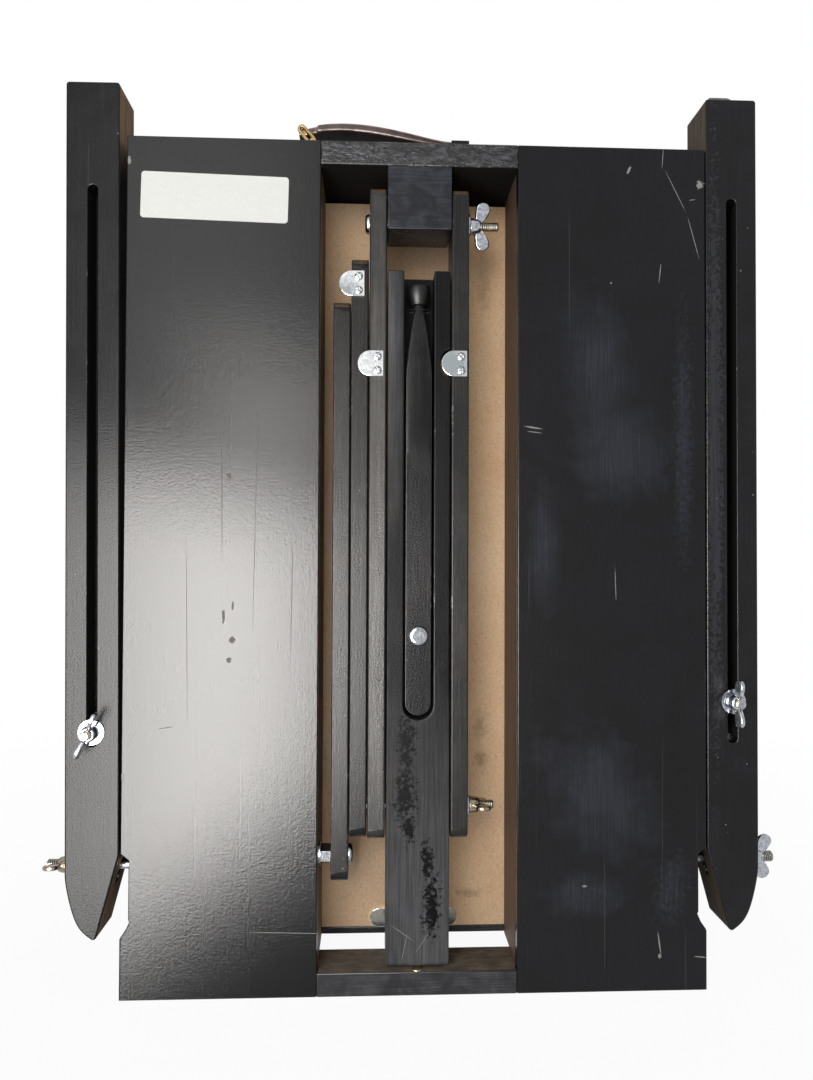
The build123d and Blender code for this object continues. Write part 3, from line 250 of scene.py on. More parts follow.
def worn_board(
    node, finishes, round_mm=0.6, other=None, segments=2, turned_z=None
):
    # The sawn board with its edges rounded by wear. The rounded strip takes the second finish,
    # and faces that other() picks take the third. Above turned_z the wood is turned round.
    mesh = bmesh.new()
    mesh.from_mesh(nodes[node].data)
    bmesh.ops.remove_doubles(mesh, verts=mesh.verts, dist=0.00001)
    bmesh.ops.dissolve_limit(mesh, angle_limit=0.01, verts=mesh.verts, edges=mesh.edges)
    sharp = [edge for edge in mesh.edges if edge.is_manifold and edge.calc_face_angle() > SHARP]
    bmesh.ops.bevel(
        mesh, geom=sharp, offset=round_mm / 1000, offset_type="OFFSET", segments=segments, profile=0.5,
        affect="EDGES", clamp_overlap=False, material=1 if len(finishes) > 1 else -1,
    )
    # A rounded edge that ends at a joint can run past the board, so it is brought back.
    low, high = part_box(node)
    for vert in mesh.verts:
        vert.co = [min(max(place, a), b) for place, a, b in zip(vert.co, low, high)]
    for face in mesh.faces:
        face.normal_update()
        if face.material_index == 1:
            face.smooth = True
        elif other and other(face):
            face.material_index = 2
    if turned_z:
        everything = mesh.verts[:] + mesh.edges[:] + mesh.faces[:]
        bmesh.ops.bisect_plane(mesh, geom=everything, plane_co=(0, 0, turned_z), plane_no=(0, 0, 1))
        for face in mesh.faces:
            face.smooth = face.smooth or face.calc_center_median().z > turned_z
        for edge in mesh.edges:
            edge.smooth = edge.is_manifold and edge.calc_face_angle() < BLUNT
    return add_piece("worn_" + node, mesh, finishes, node=node)


edge_light = worn_edge("enamel_edge_lightly_chipped")
edge_heavy = worn_edge("enamel_edge_knocked_down_to_primer", share=0.7, fleck_mm=1.8)
left_panel = satin_enamel(
    "satin_black_enamel_on_left_panel", bloom=0.08, rough=0.19, specks=0.01,
    dull=[
        dict(centre=(-118, 307), half=(0.3, 50), tilt=-0.5, ragged=0.15, fleck_mm=9),
        dict(centre=(-113.8, 310), half=(1.6, 2.0), ragged=0.4, fleck_mm=1.5),
        dict(centre=(-116.5, 226), half=(1.0, 5.0), ragged=0.4, fleck_mm=1.5),
        dict(centre=(-111.3, 212), half=(2.4, 2.2), ragged=0.4, fleck_mm=1.5),
        dict(centre=(-112.9, 200), half=(1.8, 1.5), ragged=0.4, fleck_mm=1.5),
        dict(centre=(-111.0, 232), half=(0.8, 3.0), ragged=0.4, fleck_mm=1.5),
        dict(centre=(-98, 285), half=(0.22, 70), tilt=1.0, ragged=0.15, fleck_mm=9),
        dict(centre=(-138, 215), half=(0.2, 60), tilt=-0.8, ragged=0.15, fleck_mm=9),
        dict(centre=(-76, 240), half=(0.22, 45), tilt=0.6, ragged=0.15, fleck_mm=9),
        dict(centre=(-150, 160), half=(5, 0.25), tilt=-8, ragged=0.15),
    ],
    pale=[
        dict(centre=(-74.2, 38.2), half=(31, 0.22), tilt=1.9, ragged=0.1),
        dict(centre=(-174.5, 499), half=(1.0, 3.0), ragged=0.5, fleck_mm=1.2),
        dict(centre=(-174.8, 131), half=(0.8, 2.4), ragged=0.5, fleck_mm=1.2),
    ],
)
right_panel = satin_enamel(
    "satin_black_enamel_on_right_panel", haze="#40434F", bloom=0.10, cloud_mm=60, rough=0.24, specks=0.02,
    dust_and_sheen_marks=[
        dict(centre=(108.7, 376), half=(24, 56), tilt=-6, ragged=0.25, fleck_mm=18, soft=0.9),
        dict(centre=(123.5, 326), half=(35, 36), tilt=-30, ragged=0.25, fleck_mm=14, soft=0.7),
        dict(centre=(161.9, 335), half=(7, 84), ragged=0.6, fleck_mm=2.5, soft=0.9),
        dict(centre=(76, 267), half=(12, 44), ragged=0.25, fleck_mm=14, soft=1.0),
        dict(centre=(111, 119), half=(34, 50), tilt=-25, ragged=0.35, fleck_mm=16, soft=0.8),
        dict(centre=(101, 58), half=(26, 16), ragged=0.4, fleck_mm=9, soft=0.9),
        dict(centre=(154, 62), half=(12, 24), tilt=10, ragged=0.6, fleck_mm=3.0, soft=0.9),
    ],
    pale=[
        dict(centre=(69.4, 340.8), half=(6.3, 0.55), tilt=8, ragged=0.15),
        dict(centre=(70.4, 338.0), half=(5.0, 0.3), tilt=6, ragged=0.15),
        dict(centre=(157.6, 487.5), half=(0.24, 16.1), tilt=-26.6, ragged=0.1),
        dict(centre=(168.8, 458.6), half=(0.24, 15.2), tilt=-15.4, ragged=0.1),
        dict(centre=(149.6, 508), half=(0.22, 7), tilt=4, ragged=0.1),
        dict(centre=(168, 482.5), half=(2.6, 0.25), tilt=-10, ragged=0.2),
        dict(centre=(147.8, 437), half=(0.3, 7), tilt=6, ragged=0.3),
        dict(centre=(128.5, 500), half=(0.8, 3), tilt=25, ragged=0.5, fleck_mm=1.5),
        dict(centre=(173, 492), half=(2.4, 2.6), ragged=0.6, fleck_mm=1.4),
        dict(centre=(117.4, 430.1), half=(0.6, 0.6), ragged=0.1),
        dict(centre=(146.7, 28.5), half=(0.5, 8), tilt=-8, ragged=0.2),
        dict(centre=(146.8, 21), half=(1.1, 1.6), ragged=0.2),
        dict(centre=(101, 63.5), half=(1.8, 0.7), ragged=0.4, fleck_mm=1.5),
        dict(centre=(120, 246), half=(0.25, 12), tilt=-2, ragged=0.3),
        dict(centre=(172, 20), half=(5, 0.4), tilt=6, ragged=0.3, fleck_mm=2),
        dict(centre=(174.6, 74), half=(0.9, 2.2), ragged=0.5, fleck_mm=1.2),
    ],
)
worn_board("bottom_panel_left", [left_panel, edge_light])
worn_board("bottom_panel_right", [right_panel, edge_light])

# Case frame: beech boards, glued at the corners and brushed black. The paint on the rear end
# board is thick and rough. The rail inside and the notches show brown wood through the enamel.


def bare_wood(name, pale, dark, along=(1, 1, 0.05), rough=0.55, line_mm=3.0, ior=1.4):
    # Planed wood: grain lines about 3 mm apart that run the length of the board.
    material, tree, place = new_material(name)
    grain = grain_lines(tree, place, along, line_mm, roughness=0.6)
    colour = ramp(tree, grain, [(0.3, linear(dark)), (0.7, linear(pale))])
    bump = add(tree, "ShaderNodeBump", Height=grain, Strength=0.2, Distance=0.0003).outputs[0]
    shader = add(tree, "ShaderNodeBsdfPrincipled", Base_Color=colour, Roughness=rough, Normal=bump, IOR=ior)
    add(tree, "ShaderNodeOutputMaterial", Surface=shader.outputs[0])
    return material


def lumpy_enamel(name, haze="#505156", dab_mm=2.2):
    # Enamel put on thick with a dry brush: short lumps along the board that catch the light.
    material, tree, place = new_material(name)
    dab = grain_lines(tree, place, (0.35, 1, 1), dab_mm, detail=5, roughness=0.65)
    pits = add(tree, "ShaderNodeTexVoronoi", Vector=place, Scale=1000 / 1.6).outputs["Distance"]
    colour = ramp(tree, dab, [(0.45, linear("#0A0A0B")), (0.66, linear(haze)), (0.75, linear("#5E5C57"))])
    bump = add(tree, "ShaderNodeBump", Height=dab, Strength=0.9, Distance=0.0011).outputs[0]
    bump = add(tree, "ShaderNodeBump", Height=pits, Strength=0.45, Distance=0.0005, Normal=bump).outputs[0]
    shader = add(tree, "ShaderNodeBsdfPrincipled", Base_Color=colour, Roughness=0.22, Normal=bump, IOR=1.40)
    add(tree, "ShaderNodeOutputMaterial", Surface=shader.outputs[0])
    return material


stained = bare_wood("beech_darkened_by_handling", "#5A4630", "#33261A")
board_enamel = satin_enamel("brushed_black_enamel_on_beech", bloom=0.2)
rail_enamel = satin_enamel(
    "brushed_black_enamel_across_rails", haze="#6A6A6E", bloom=0.65, grain="X", cloud_mm=30
)
rough_enamel = lumpy_enamel("thick_black_enamel_on_end_board")
block_enamel = satin_enamel(
    "brushed_black_enamel_on_leg_block", haze="#4A4C55", bloom=0.75, cloud_mm=16, grain="X", specks=0.10
)
# Painted shade: a near black on faces inside the case and on the left lower leg in its groove, where shade
# falls.
shadow_black = bare_wood("painted_shade_black_inside_case", "#171310", "#0B0908", rough=0.8, ior=1.15)
dusty_brown = bare_wood(
    "dusty_wood_on_front_rail", "#63543F", "#251E16", along=(0.5, 1, 1), rough=0.8, line_mm=5
)
# The channel walls are brown wood, their colour partly a painted reflection of the tan drawer base.
brown_wash_and_reflection = bare_wood("brown_wash_and_painted_reflection_on_channel_walls", "#6A5138", "#3D2E20", rough=0.6, ior=1.3)
worn_board("side_boards", [board_enamel, edge_light, stained], other=lambda face: abs(face.normal.z) > 0.3)
worn_board("channel_walls", [brown_wash_and_reflection, edge_light])
worn_board("leg_block", [block_enamel, edge_light])
# The rear end board's underside and inner face take the painted shade black.
worn_board(
    "rear_end_board", [rough_enamel, edge_heavy, shadow_black],
    other=lambda face: face.normal.z < -0.5 or face.normal.y > 0.5,
)
PIN_R, PIN_H, PIN_IN = 3.6, 0.9, 0.004
stop_pin = bmesh.new()
steps = (0, 0.4, 0.8, 1.2, math.pi / 2)
arc = [stop_pin.verts.new((PIN_R * math.cos(step), 0, PIN_H * math.sin(step))) for step in steps]
edges = [stop_pin.edges.new(pair) for pair in zip(arc, arc[1:])]
whole = dict(cent=(0, 0, 0), axis=(0, 0, 1), angle=2 * math.pi, steps=24, use_merge=True)
bmesh.ops.spin(stop_pin, geom=arc + edges, **whole)
bmesh.ops.remove_doubles(stop_pin, verts=stop_pin.verts, dist=0.01)
bmesh.ops.contextual_create(stop_pin, geom=[edge for edge in stop_pin.edges if edge.is_boundary])
rail_low, rail_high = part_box("front_rail")
seat = Matrix.Translation((0, rail_low[1] + PIN_IN, rail_high[2])) @ Matrix.Scale(0.001, 4)
bmesh.ops.transform(stop_pin, verts=stop_pin.verts, matrix=seat)
bmesh.ops.recalc_face_normals(stop_pin, faces=stop_pin.faces)
for face in stop_pin.faces:
    face.smooth = len(face.verts) < 5
pin_brass, tree, place = new_material("tarnished_brass_pin_head")
dulled = add(tree, "ShaderNodeTexNoise", Vector=place, Scale=900, Detail=3).outputs[0]
colour = ramp(tree, dulled, [(0.3, linear("#8C8168")), (0.7, linear("#BDB398"))])
shader = add(tree, "ShaderNodeBsdfPrincipled", Base_Color=colour, Roughness=0.3, Metallic=1.0)
add(tree, "ShaderNodeOutputMaterial", Surface=shader.outputs[0])
add_piece("brass_pin_on_front_rail", stop_pin, [pin_brass], body="case")
worn_board("front_rail", [rail_enamel, edge_light, dusty_brown], other=lambda face: face.normal.z > 0.5)
worn_board("drawer_front", [rail_enamel, edge_light])

# Drawer: its base is a sheet of tan hardboard, smooth side out, that shows in the channel.
# Pressed wood fibre gives it a fine mottle and a dull sheen. The tray above is bare pine.


def hardboard_sheet(name):
    # Fibre bundles a millimetre or two across, dark shives along the sheet, and soft patches
    # where damp and dust have been.
    material, tree, place = new_material(name)
    fibre = add(tree, "ShaderNodeTexNoise", Vector=place, Scale=600, Detail=6, Roughness=0.75).outputs[0]
    patch = add(tree, "ShaderNodeTexNoise", Vector=place, Scale=22, Detail=3, Roughness=0.55).outputs[0]
    shive = grain_lines(tree, place, (1, 1, 0.25), 1.1, detail=3)
    tans = [(0.28, linear("#B98A5C")), (0.5, linear("#E0BA90")), (0.75, linear("#F3DABA"))]
    mottle = ramp(tree, fibre, tans)
    tone = ramp(tree, patch, [(0.3, linear("#DAB188")), (0.7, linear("#EFD0AB"))])
    colour = blended(tree, 0.5, mottle, tone)
    flecks = ramp(tree, shive, [(0.28, 0.55), (0.36, 0.0)])
    colour = blended(tree, flecks, colour, linear("#6B4A2C"))
    stains = [
        dict(centre=(44, 150), half=(7, 14), ragged=0.5, fleck_mm=5, soft=1.2),
        dict(centre=(44, 128), half=(6, 9), ragged=0.5, fleck_mm=4, soft=1.0),
        dict(centre=(46, 438), half=(6, 16), ragged=0.4, fleck_mm=5, soft=1.4),
        dict(centre=(-38, 70), half=(4, 16), ragged=0.4, fleck_mm=5, soft=1.2),
        dict(centre=(36, 40), half=(12, 4), ragged=0.5, fleck_mm=4, soft=1.2),
    ]
    stain = marked(tree, place, stains)
    stain = add(tree, "ShaderNodeMath", {"operation": "MULTIPLY"}, _0=stain, _1=0.5).outputs[0]
    colour = blended(tree, stain, colour, linear("#5C4228"))
    bump = add(tree, "ShaderNodeBump", Height=fibre, Strength=0.15, Distance=0.0003).outputs[0]
    shader = add(tree, "ShaderNodeBsdfPrincipled", Base_Color=colour, Roughness=0.6, Normal=bump, IOR=1.3)
    add(tree, "ShaderNodeOutputMaterial", Surface=shader.outputs[0])
    return material


hardboard = hardboard_sheet("smooth_tan_hardboard")
worn_board("drawer_bottom", [hardboard], round_mm=0.3)
pine = bare_wood("planed_pine", "#C9A778", "#A9824F")
for node in ("drawer_sides_and_back", "drawer_dividers", "palette_runners", "mast_guides"):
    worn_board(node, [pine], round_mm=0.4)
birch = bare_wood("varnished_birch_palette", "#B98A55", "#8E6335", rough=0.35)
worn_board("palette", [birch])

# Lid and mast: the lid is a plywood sheet on a beech frame, and the mast is one beech bar.
# All of it is brushed with the same enamel as the case.
lid_enamel = satin_enamel("satin_black_enamel_on_lid", bloom=0.22, cloud_mm=90)
worn_board("lid_panel", [lid_enamel, edge_light], round_mm=0.8)
worn_board("lid_frame", [board_enamel, edge_light])
worn_board("mast", [board_enamel, edge_light])

# Rear leg: planed beech bars, brushed black before they were bolted together. The bars have
# rubbed grey on each other, and their top ends are worn to brown wood. The end of the inner leg
# is turned down to a round neck.


def worn_top(face):
    return face.normal.z > 0.35


# The lighter stripe down the left fork bar is a painted sheen, for window light in its gloss.
fork_enamel = satin_enamel(
    "brushed_black_enamel_on_fork", haze="#66635F", bloom=0.30, cloud_mm=120, rough=0.26,
    dust_and_sheen_marks=[dict(centre=(-25, 300), half=(9, 260), ragged=0.2, fleck_mm=20, soft=0.5)],
)
strut_enamel = satin_enamel(
    "brushed_black_enamel_on_strut", haze="#55504C", bloom=0.25, cloud_mm=90, rough=0.26, ior=1.25
)
inner_enamel = satin_enamel(
    "brushed_black_enamel_on_inner_leg", haze="#52504F", bloom=0.4, cloud_mm=120, rough=0.28, ior=1.2,
    black=[dict(centre=(0, 190), half=(14, 60), ragged=0.1, fleck_mm=20, soft=0.6)],
)
middle_enamel = satin_enamel(
    "rubbed_black_enamel_on_middle_leg", haze="#8C8C8E", bloom=0.08, cloud_mm=160, rough=0.34,
    specks=0.02, ior=1.13,
    dust_and_sheen_marks=[
        dict(centre=(4, 15), half=(70, 185), ragged=0.1, fleck_mm=20, soft=0.9),
        dict(centre=(-18, 395), half=(11, 140), ragged=0.1, fleck_mm=20, soft=0.9),
    ],
    black=[
        dict(centre=(-7, 150), half=(5.5, 22), ragged=0.9, fleck_mm=2.2, soft=0.5),
        dict(centre=(-8, 118), half=(7, 17), ragged=0.9, fleck_mm=2.2, soft=0.5),
        dict(centre=(-5, 98), half=(4, 10), ragged=0.9, fleck_mm=2.2, soft=0.5),
        dict(centre=(5.8, 78), half=(3.5, 14), ragged=0.9, fleck_mm=2.2, soft=0.5),
        dict(centre=(9, 52), half=(6, 18), ragged=0.9, fleck_mm=2.2, soft=0.5),
    ],
    pale=[
        dict(centre=(-8, 26), half=(0.25, 11), tilt=12, ragged=0.1),
        dict(centre=(-9, 36), half=(0.25, 9), tilt=-55, ragged=0.1),
        dict(centre=(3, 30), half=(0.2, 8), tilt=35, ragged=0.1),
    ],
)
worn_board("fork_bars", [fork_enamel, edge_light, stained], other=worn_top, round_mm=0.9)
worn_board("strut_lower_bar", [strut_enamel, edge_light, stained], other=worn_top, round_mm=0.8)
worn_board("strut_upper_bar", [strut_enamel, edge_light, stained], other=worn_top, round_mm=0.8)
worn_board("middle_leg", [middle_enamel, edge_light], round_mm=0.7)
worn_board("inner_leg", [inner_enamel, edge_light], round_mm=0.4, turned_z=0.325)

# Front legs: a grooved outer bar with a lower leg that slides in it. The sides are bare beech
# at the top and on the cut tip, and painted near black between as the shade of the case side
# beside them.


def leg_side(name, pale):
    # Beech that shows above 500 mm and below 100 mm, with a near black painted between as shade,
    # its edge wandering with the grain.
    material, tree, place = new_material(name)
    grain = grain_lines(tree, place, (1, 1, 0.05), 2.5, roughness=0.6)
    wood = ramp(tree, grain, [(0.3, linear("#2B2118")), (0.7, linear(pale))])
    height = add(tree, "ShaderNodeSeparateXYZ", Vector=place).outputs["Z"]
    uneven = add(tree, "ShaderNodeMath", {"operation": "MULTIPLY_ADD"}, _0=grain, _1=0.03, _2=height)
    uneven = uneven.outputs[0]
    top = add(tree, "ShaderNodeMapRange", Value=uneven, _1=0.505, _2=0.525).outputs[0]
    tip = add(tree, "ShaderNodeMapRange", Value=uneven, _1=0.105, _2=0.095).outputs[0]
    shown = add(tree, "ShaderNodeMath", {"operation": "MAXIMUM"}, _0=top, _1=tip).outputs[0]
    # Painted shade: near black between 100 and 500 mm.
    colour = blended(tree, shown, linear("#0C0B0B"), wood)
    bump = add(tree, "ShaderNodeBump", Height=grain, Strength=0.2, Distance=0.0003).outputs[0]
    shader = add(tree, "ShaderNodeBsdfPrincipled", Base_Color=colour, Roughness=0.65, Normal=bump, IOR=1.2)
    add(tree, "ShaderNodeOutputMaterial", Surface=shader.outputs[0])
    return material


# Painted light: a pale grey on the right lower leg stands for the light that reaches into its groove.
groove_painted_light = bare_wood("painted_light_grey_on_right_lower_leg", "#7A7570", "#55504B", rough=0.7, ior=1.2)
leg_enamel_left = satin_enamel(
    "brushed_black_enamel_on_left_leg", haze="#45464A", bloom=0.25, cloud_mm=60, rough=0.25,
    specks=0.05, ior=1.21,
)
leg_enamel_right = satin_enamel(
    "brushed_black_enamel_on_right_leg", haze="#44454C", bloom=0.15, cloud_mm=40, rough=0.26, specks=0.12,
    dust_and_sheen_marks=[dict(centre=(181.5, 330), half=(5, 170), ragged=0.9, fleck_mm=2.4, soft=0.3)],
)
for side, enamel, side_wood, groove_light_and_shade in (
    ("left", leg_enamel_left, "#8A6844", shadow_black),
    ("right", leg_enamel_right, "#584C3E", groove_painted_light),
):
    worn_board(
        "leg_outer_" + side, [enamel, edge_light, leg_side(f"beech_side_painted_shade_{side}", side_wood)],
        other=lambda face: abs(face.normal.x) > 0.5 and face.calc_area() > 1e-4, round_mm=0.35,
    )
    # The lower legs take painted shade on the left and painted light on the right.
    worn_board("leg_lower_" + side, [groove_light_and_shade, edge_light], round_mm=0.5)

# Hardware: pressed and turned steel, bright zinc plated. It mirrors the room softly, with a
# faint bluish cast. Darker patches can be painted on as shade.


def zinc_plate(name, tint="#A9ACB0", shadow="#7C8086", rough=0.08, painted_shade_patches=(), grit=0.12):
    # Zinc crystals about 2 mm across, seen as a faint change of tone.
    material, tree, place = new_material(name)
    spots = add(tree, "ShaderNodeTexNoise", Vector=place, Scale=500, Detail=4, Roughness=0.6).outputs[0]
    colour = ramp(tree, spots, [(0.3, linear(shadow)), (0.7, linear(tint))])
    # Painted shade: listed patches are darkened.
    if painted_shade_patches:
        colour = blended(tree, marked(tree, place, painted_shade_patches), colour, linear("#A0A7AA"))
    dull = add(tree, "ShaderNodeMath", {"operation": "MULTIPLY_ADD"}, _0=spots, _1=0.14, _2=rough).outputs[0]
    bump = add(tree, "ShaderNodeBump", Height=spots, Strength=grit, Distance=0.0003).outputs[0]
    look = dict(Base_Color=colour, Roughness=dull, Metallic=1.0, Normal=bump)
    shader = add(tree, "ShaderNodeBsdfPrincipled", **look)
    add(tree, "ShaderNodeOutputMaterial", Surface=shader.outputs[0])
    return material


def coat(node, material):
    slots = nodes[node].data.materials
    slots.clear()
    slots.append(material)


zinc = zinc_plate("bright_zinc_plated_steel")
bright = zinc_plate("zinc_rubbed_bright_on_edges", tint="#DCDEDE", shadow="#C4C6C8", rough=0.05)
hardware = ["case_side_studs", "case_hinge_leaves", "strut_pivot_fasteners", "lid_hinge_leaves"]
hardware += ["lid_fasteners", "canvas_clamp", "fork_bolts", "inner_leg_bolt", "strut_elbow_rivet"]
for side in ("left", "right"):
    hardware += ["leg_clamp_bolt_" + side, "leg_pivot_bolt_" + side]
for node in hardware:
    coat(node, zinc)
for node in ("lid_stays", "latch_hook_left", "latch_hook_right"):
    worn_board(node, [zinc, bright], round_mm=0.25)
catch_zinc = zinc_plate("clean_zinc_on_catch_plate", tint="#E6E8E4", shadow="#D0D2CE")
worn_board("drawer_catch_plate", [catch_zinc, bright], round_mm=0.25)

# Keeper tabs: stamped from 1.4 mm sheet and held by two small cross-headed screws each. The
# stamped rim is polished by the bar that it keeps. The right tab and the strut's tab carry a
# painted shade, darker than the lower left tab.
tab_zinc = zinc_plate(
    "zinc_plated_sheet", tint="#EDEFEF", shadow="#CDD1D1", rough=0.04, grit=0.02,
    # Painted shade on the right tab and on the strut's tab.
    painted_shade_patches=[
        dict(centre=(20, 379), half=(16, 16), ragged=0.3, fleck_mm=3, soft=0.6),
        dict(centre=(-48, 421), half=(14, 14), ragged=0.3, fleck_mm=3, soft=0.6),
    ],
)
for node in ("fork_keeper_tabs", "strut_keeper_tab"):
    worn_board(node, [tab_zinc, bright], round_mm=0.3)
screw_zinc = zinc_plate("dulled_zinc_on_screw_heads", tint="#8C9092", shadow="#5E6264", rough=0.3)
SCREW_R, SCREW_H, SCREW_HEAD, SLOT_DEEP = 0.0026, 0.0013, 0.0009, 0.00045
SCREW_IN, SCREW_OUT, SCREW_UP, SCREW_APART = 0.0120, 0.0036, 0.00785, 0.0084


def cross_headed_screws(name, node, spots):
    # Each head is a square grid drawn round and raised, with a cross pressed into its middle.
    heads = bmesh.new()
    for x, y, z, turn in spots:
        grid = bmesh.ops.create_grid(heads, x_segments=22, y_segments=22, size=1.0)["verts"]
        for vert in grid:
            across, up = vert.co.x, vert.co.y
            vert.co.x = SCREW_R * across * math.sqrt(1 - up * up / 2)
            vert.co.y = SCREW_R * up * math.sqrt(1 - across * across / 2)
            away = math.hypot(vert.co.x, vert.co.y) / SCREW_R
            pressed = min(abs(across), abs(up)) < 0.12 and away < 0.66
            vert.co.z = SCREW_H * math.sqrt(max(0.0, 1 - away**2)) - (SLOT_DEEP if pressed else 0.0)
        rim = {edge for vert in grid for edge in vert.link_edges if edge.is_boundary}
        bmesh.ops.contextual_create(heads, geom=list(rim))
        facing = Matrix.Rotation(math.pi / 2, 4, "X") @ Matrix.Rotation(math.radians(turn), 4, "Z")
        bmesh.ops.transform(heads, verts=grid, matrix=Matrix.Translation((x, y, z)) @ facing)
    bmesh.ops.recalc_face_normals(heads, faces=heads.faces)
    for face in heads.faces:
        face.smooth = len(face.verts) == 4
    add_piece(name, heads, [screw_zinc], body=body_of[node])


def screw_pair(corner, side, turns):
    x, y, z = corner
    x += side[0] * SCREW_IN
    z += side[1] * SCREW_UP
    return [(x, y, z + way * SCREW_APART / 2, turn) for way, turn in zip((-1, 1), turns)]


low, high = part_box("fork_keeper_tabs")
sheet_y = low[1] + SCREW_HEAD
fork_spots = screw_pair((low[0], sheet_y, low[2]), (1, 1), (20, 65))
fork_spots += screw_pair((high[0] - SCREW_OUT - SCREW_IN, sheet_y, high[2]), (1, -1), (5, 50))
cross_headed_screws("fork_tab_screws", "fork_keeper_tabs", fork_spots)
low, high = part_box("strut_keeper_tab")
strut_spots = screw_pair((low[0], low[1] + SCREW_HEAD, low[2]), (1, 1), (75, 35))
cross_headed_screws("strut_tab_screws", "strut_keeper_tab", strut_spots)

# Wing nuts: forged steel, zinc plated. A bored cone carries two rounded ears that rise from it.
# The ears are worn smooth, so they catch the light along their rims.
LOBE_X, LOBE_Z, LOBE_R = 9.9, 8.2, 4.6
EAR_T, EAR_IN, EAR_DOWN, EAR_ROUND = 2.7, 4.4, 3.0, 1.1


def wing_nut(node, bore, place, finish):
    nut = bmesh.new()
    for way in (0, math.pi):
        ear = bmesh.ops.create_circle(nut, cap_ends=True, segments=32, radius=LOBE_R)["verts"]
        for vert in ear:
            drawn = max(0.0, -vert.co.x / LOBE_R)
            vert.co.x -= EAR_IN * drawn**1.6
            vert.co.y -= EAR_DOWN * drawn**1.6
        raised = Matrix.Translation((LOBE_X, 0, LOBE_Z)) @ Matrix.Rotation(math.pi / 2, 4, "X")
        bmesh.ops.transform(nut, verts=ear, matrix=raised)
        bmesh.ops.translate(nut, verts=ear, vec=(0, EAR_T / 2, 0))
        flat = [face for face in nut.faces if all(vert in ear for vert in face.verts)]
        thick = bmesh.ops.extrude_face_region(nut, geom=flat)["geom"]
        grown = [item for item in thick if isinstance(item, bmesh.types.BMVert)]
        bmesh.ops.translate(nut, verts=grown, vec=(0, -EAR_T, 0))
        own = set(ear) | set(grown)
        rims = [edge for edge in nut.edges if edge.is_manifold and own.issuperset(edge.verts)]
        rims = [edge for edge in rims if edge.calc_face_angle() > 1.0]
        made = bmesh.ops.bevel(
            nut, geom=rims, offset=EAR_ROUND, segments=4, profile=0.5, affect="EDGES", material=-1
        )
        own = {vert for vert in own if vert.is_valid} | set(made["verts"])
        bmesh.ops.rotate(nut, verts=list(own), cent=(0, 0, 0), matrix=Matrix.Rotation(way, 3, "Z"))
    outline = [(bore, 0.0), (5.2, 0.0), (5.2, 1.0), (4.7, 4.8), (4.2, 6.3), (3.6, 7.0), (bore, 7.0)]
    ring = [nut.verts.new((r, 0, z)) for r, z in outline]
    sides = [nut.edges.new((ring[i], ring[(i + 1) % len(ring)])) for i in range(len(ring))]
    around = dict(cent=(0, 0, 0), axis=(0, 0, 1), angle=2 * math.pi, steps=32, use_merge=True)
    bmesh.ops.spin(nut, geom=ring + sides, **around)
    bmesh.ops.remove_doubles(nut, verts=nut.verts, dist=0.001)
    bmesh.ops.transform(nut, verts=nut.verts, matrix=place @ Matrix.Scale(0.001, 4))
    bmesh.ops.recalc_face_normals(nut, faces=nut.faces)
    for face in nut.faces:
        face.smooth = len(face.verts) == 4
    add_piece("smooth_" + node, nut, [finish], node=node)


def spot_at(x, d, z):
    # All in millimetres. A depth is measured from the underside towards the lid.
    return Matrix.Translation((x / 1000, d / 1000 + UNDERSIDE_Y, z / 1000))


def along_x(x, d, z, turn=0, side=1):
    place = spot_at(x, d, z) @ Matrix.Rotation(math.pi / 2, 4, "Y")
    place = place @ Matrix.Rotation(math.radians(turn), 4, "Z")
    return Matrix.Scale(-1, 4, (1, 0, 0)) @ place if side < 0 else place


def along_y(x, d, z, turn=0, way=-1):
    place = spot_at(x, d, z) @ Matrix.Rotation(math.radians(-90 * way), 4, "X")
    return place @ Matrix.Rotation(math.radians(turn), 4, "Z")


nut_zinc = zinc_plate("zinc_on_forged_ears", tint="#BBBEC4", shadow="#84878F", rough=0.09)
nut_brown = zinc_plate("rusted_zinc_on_ears", tint="#A39A8A", shadow="#655B4D", rough=0.12)
M5_BORE, M6_BORE = 2.56, 3.06
FORK_NUT_X, FORK_BOLT_D, FORK_PIVOT_Z, KNEE_Z = 32.0, 15, 469.1, 108.7
wing_nut("fork_pivot_wing_nut", M5_BORE, along_x(FORK_NUT_X, FORK_BOLT_D, FORK_PIVOT_Z, 12), nut_zinc)
wing_nut("knee_wing_nut", M5_BORE, along_x(FORK_NUT_X, FORK_BOLT_D, KNEE_Z, 85), nut_brown)
wing_nut("inner_leg_wing_nut", M5_BORE, along_y(0, 29.1, 214.1, 35, 1), nut_zinc)
wing_nut("mast_wing_nut", M5_BORE, along_y(0, 136.9, 210, 90), nut_zinc)
STAY_NUT = (179.35, 108.97, 444.77, 25)
wing_nut("stay_wing_nut_right", M5_BORE, along_x(*STAY_NUT), nut_zinc)
wing_nut("stay_wing_nut_left", M5_BORE, along_x(*STAY_NUT, side=-1), nut_zinc)
LEG_OUT, LEG_MID, PIVOT_D, PIVOT_Z = 208.0, 192.2, 14.5, 75.0
NUT_OUT, CLAMP_D, CLAMP_Z_LEFT, CLAMP_Z_RIGHT, LEFT_LEAN = 1.6, -2.1, 157.8, 174.6, 0.5
pivot_seat = (LEG_OUT + NUT_OUT, PIVOT_D, PIVOT_Z)
wing_nut("leg_pivot_wing_nut_right", M6_BORE, along_x(*pivot_seat, 8), nut_zinc)
wing_nut("leg_pivot_wing_nut_left", M6_BORE, along_x(*pivot_seat, 80, side=-1), nut_brown)
hinge = spot_at(-LEG_OUT, PIVOT_D, PIVOT_Z)
lean = hinge @ Matrix.Rotation(math.radians(-LEFT_LEAN), 4, "Y") @ hinge.inverted()
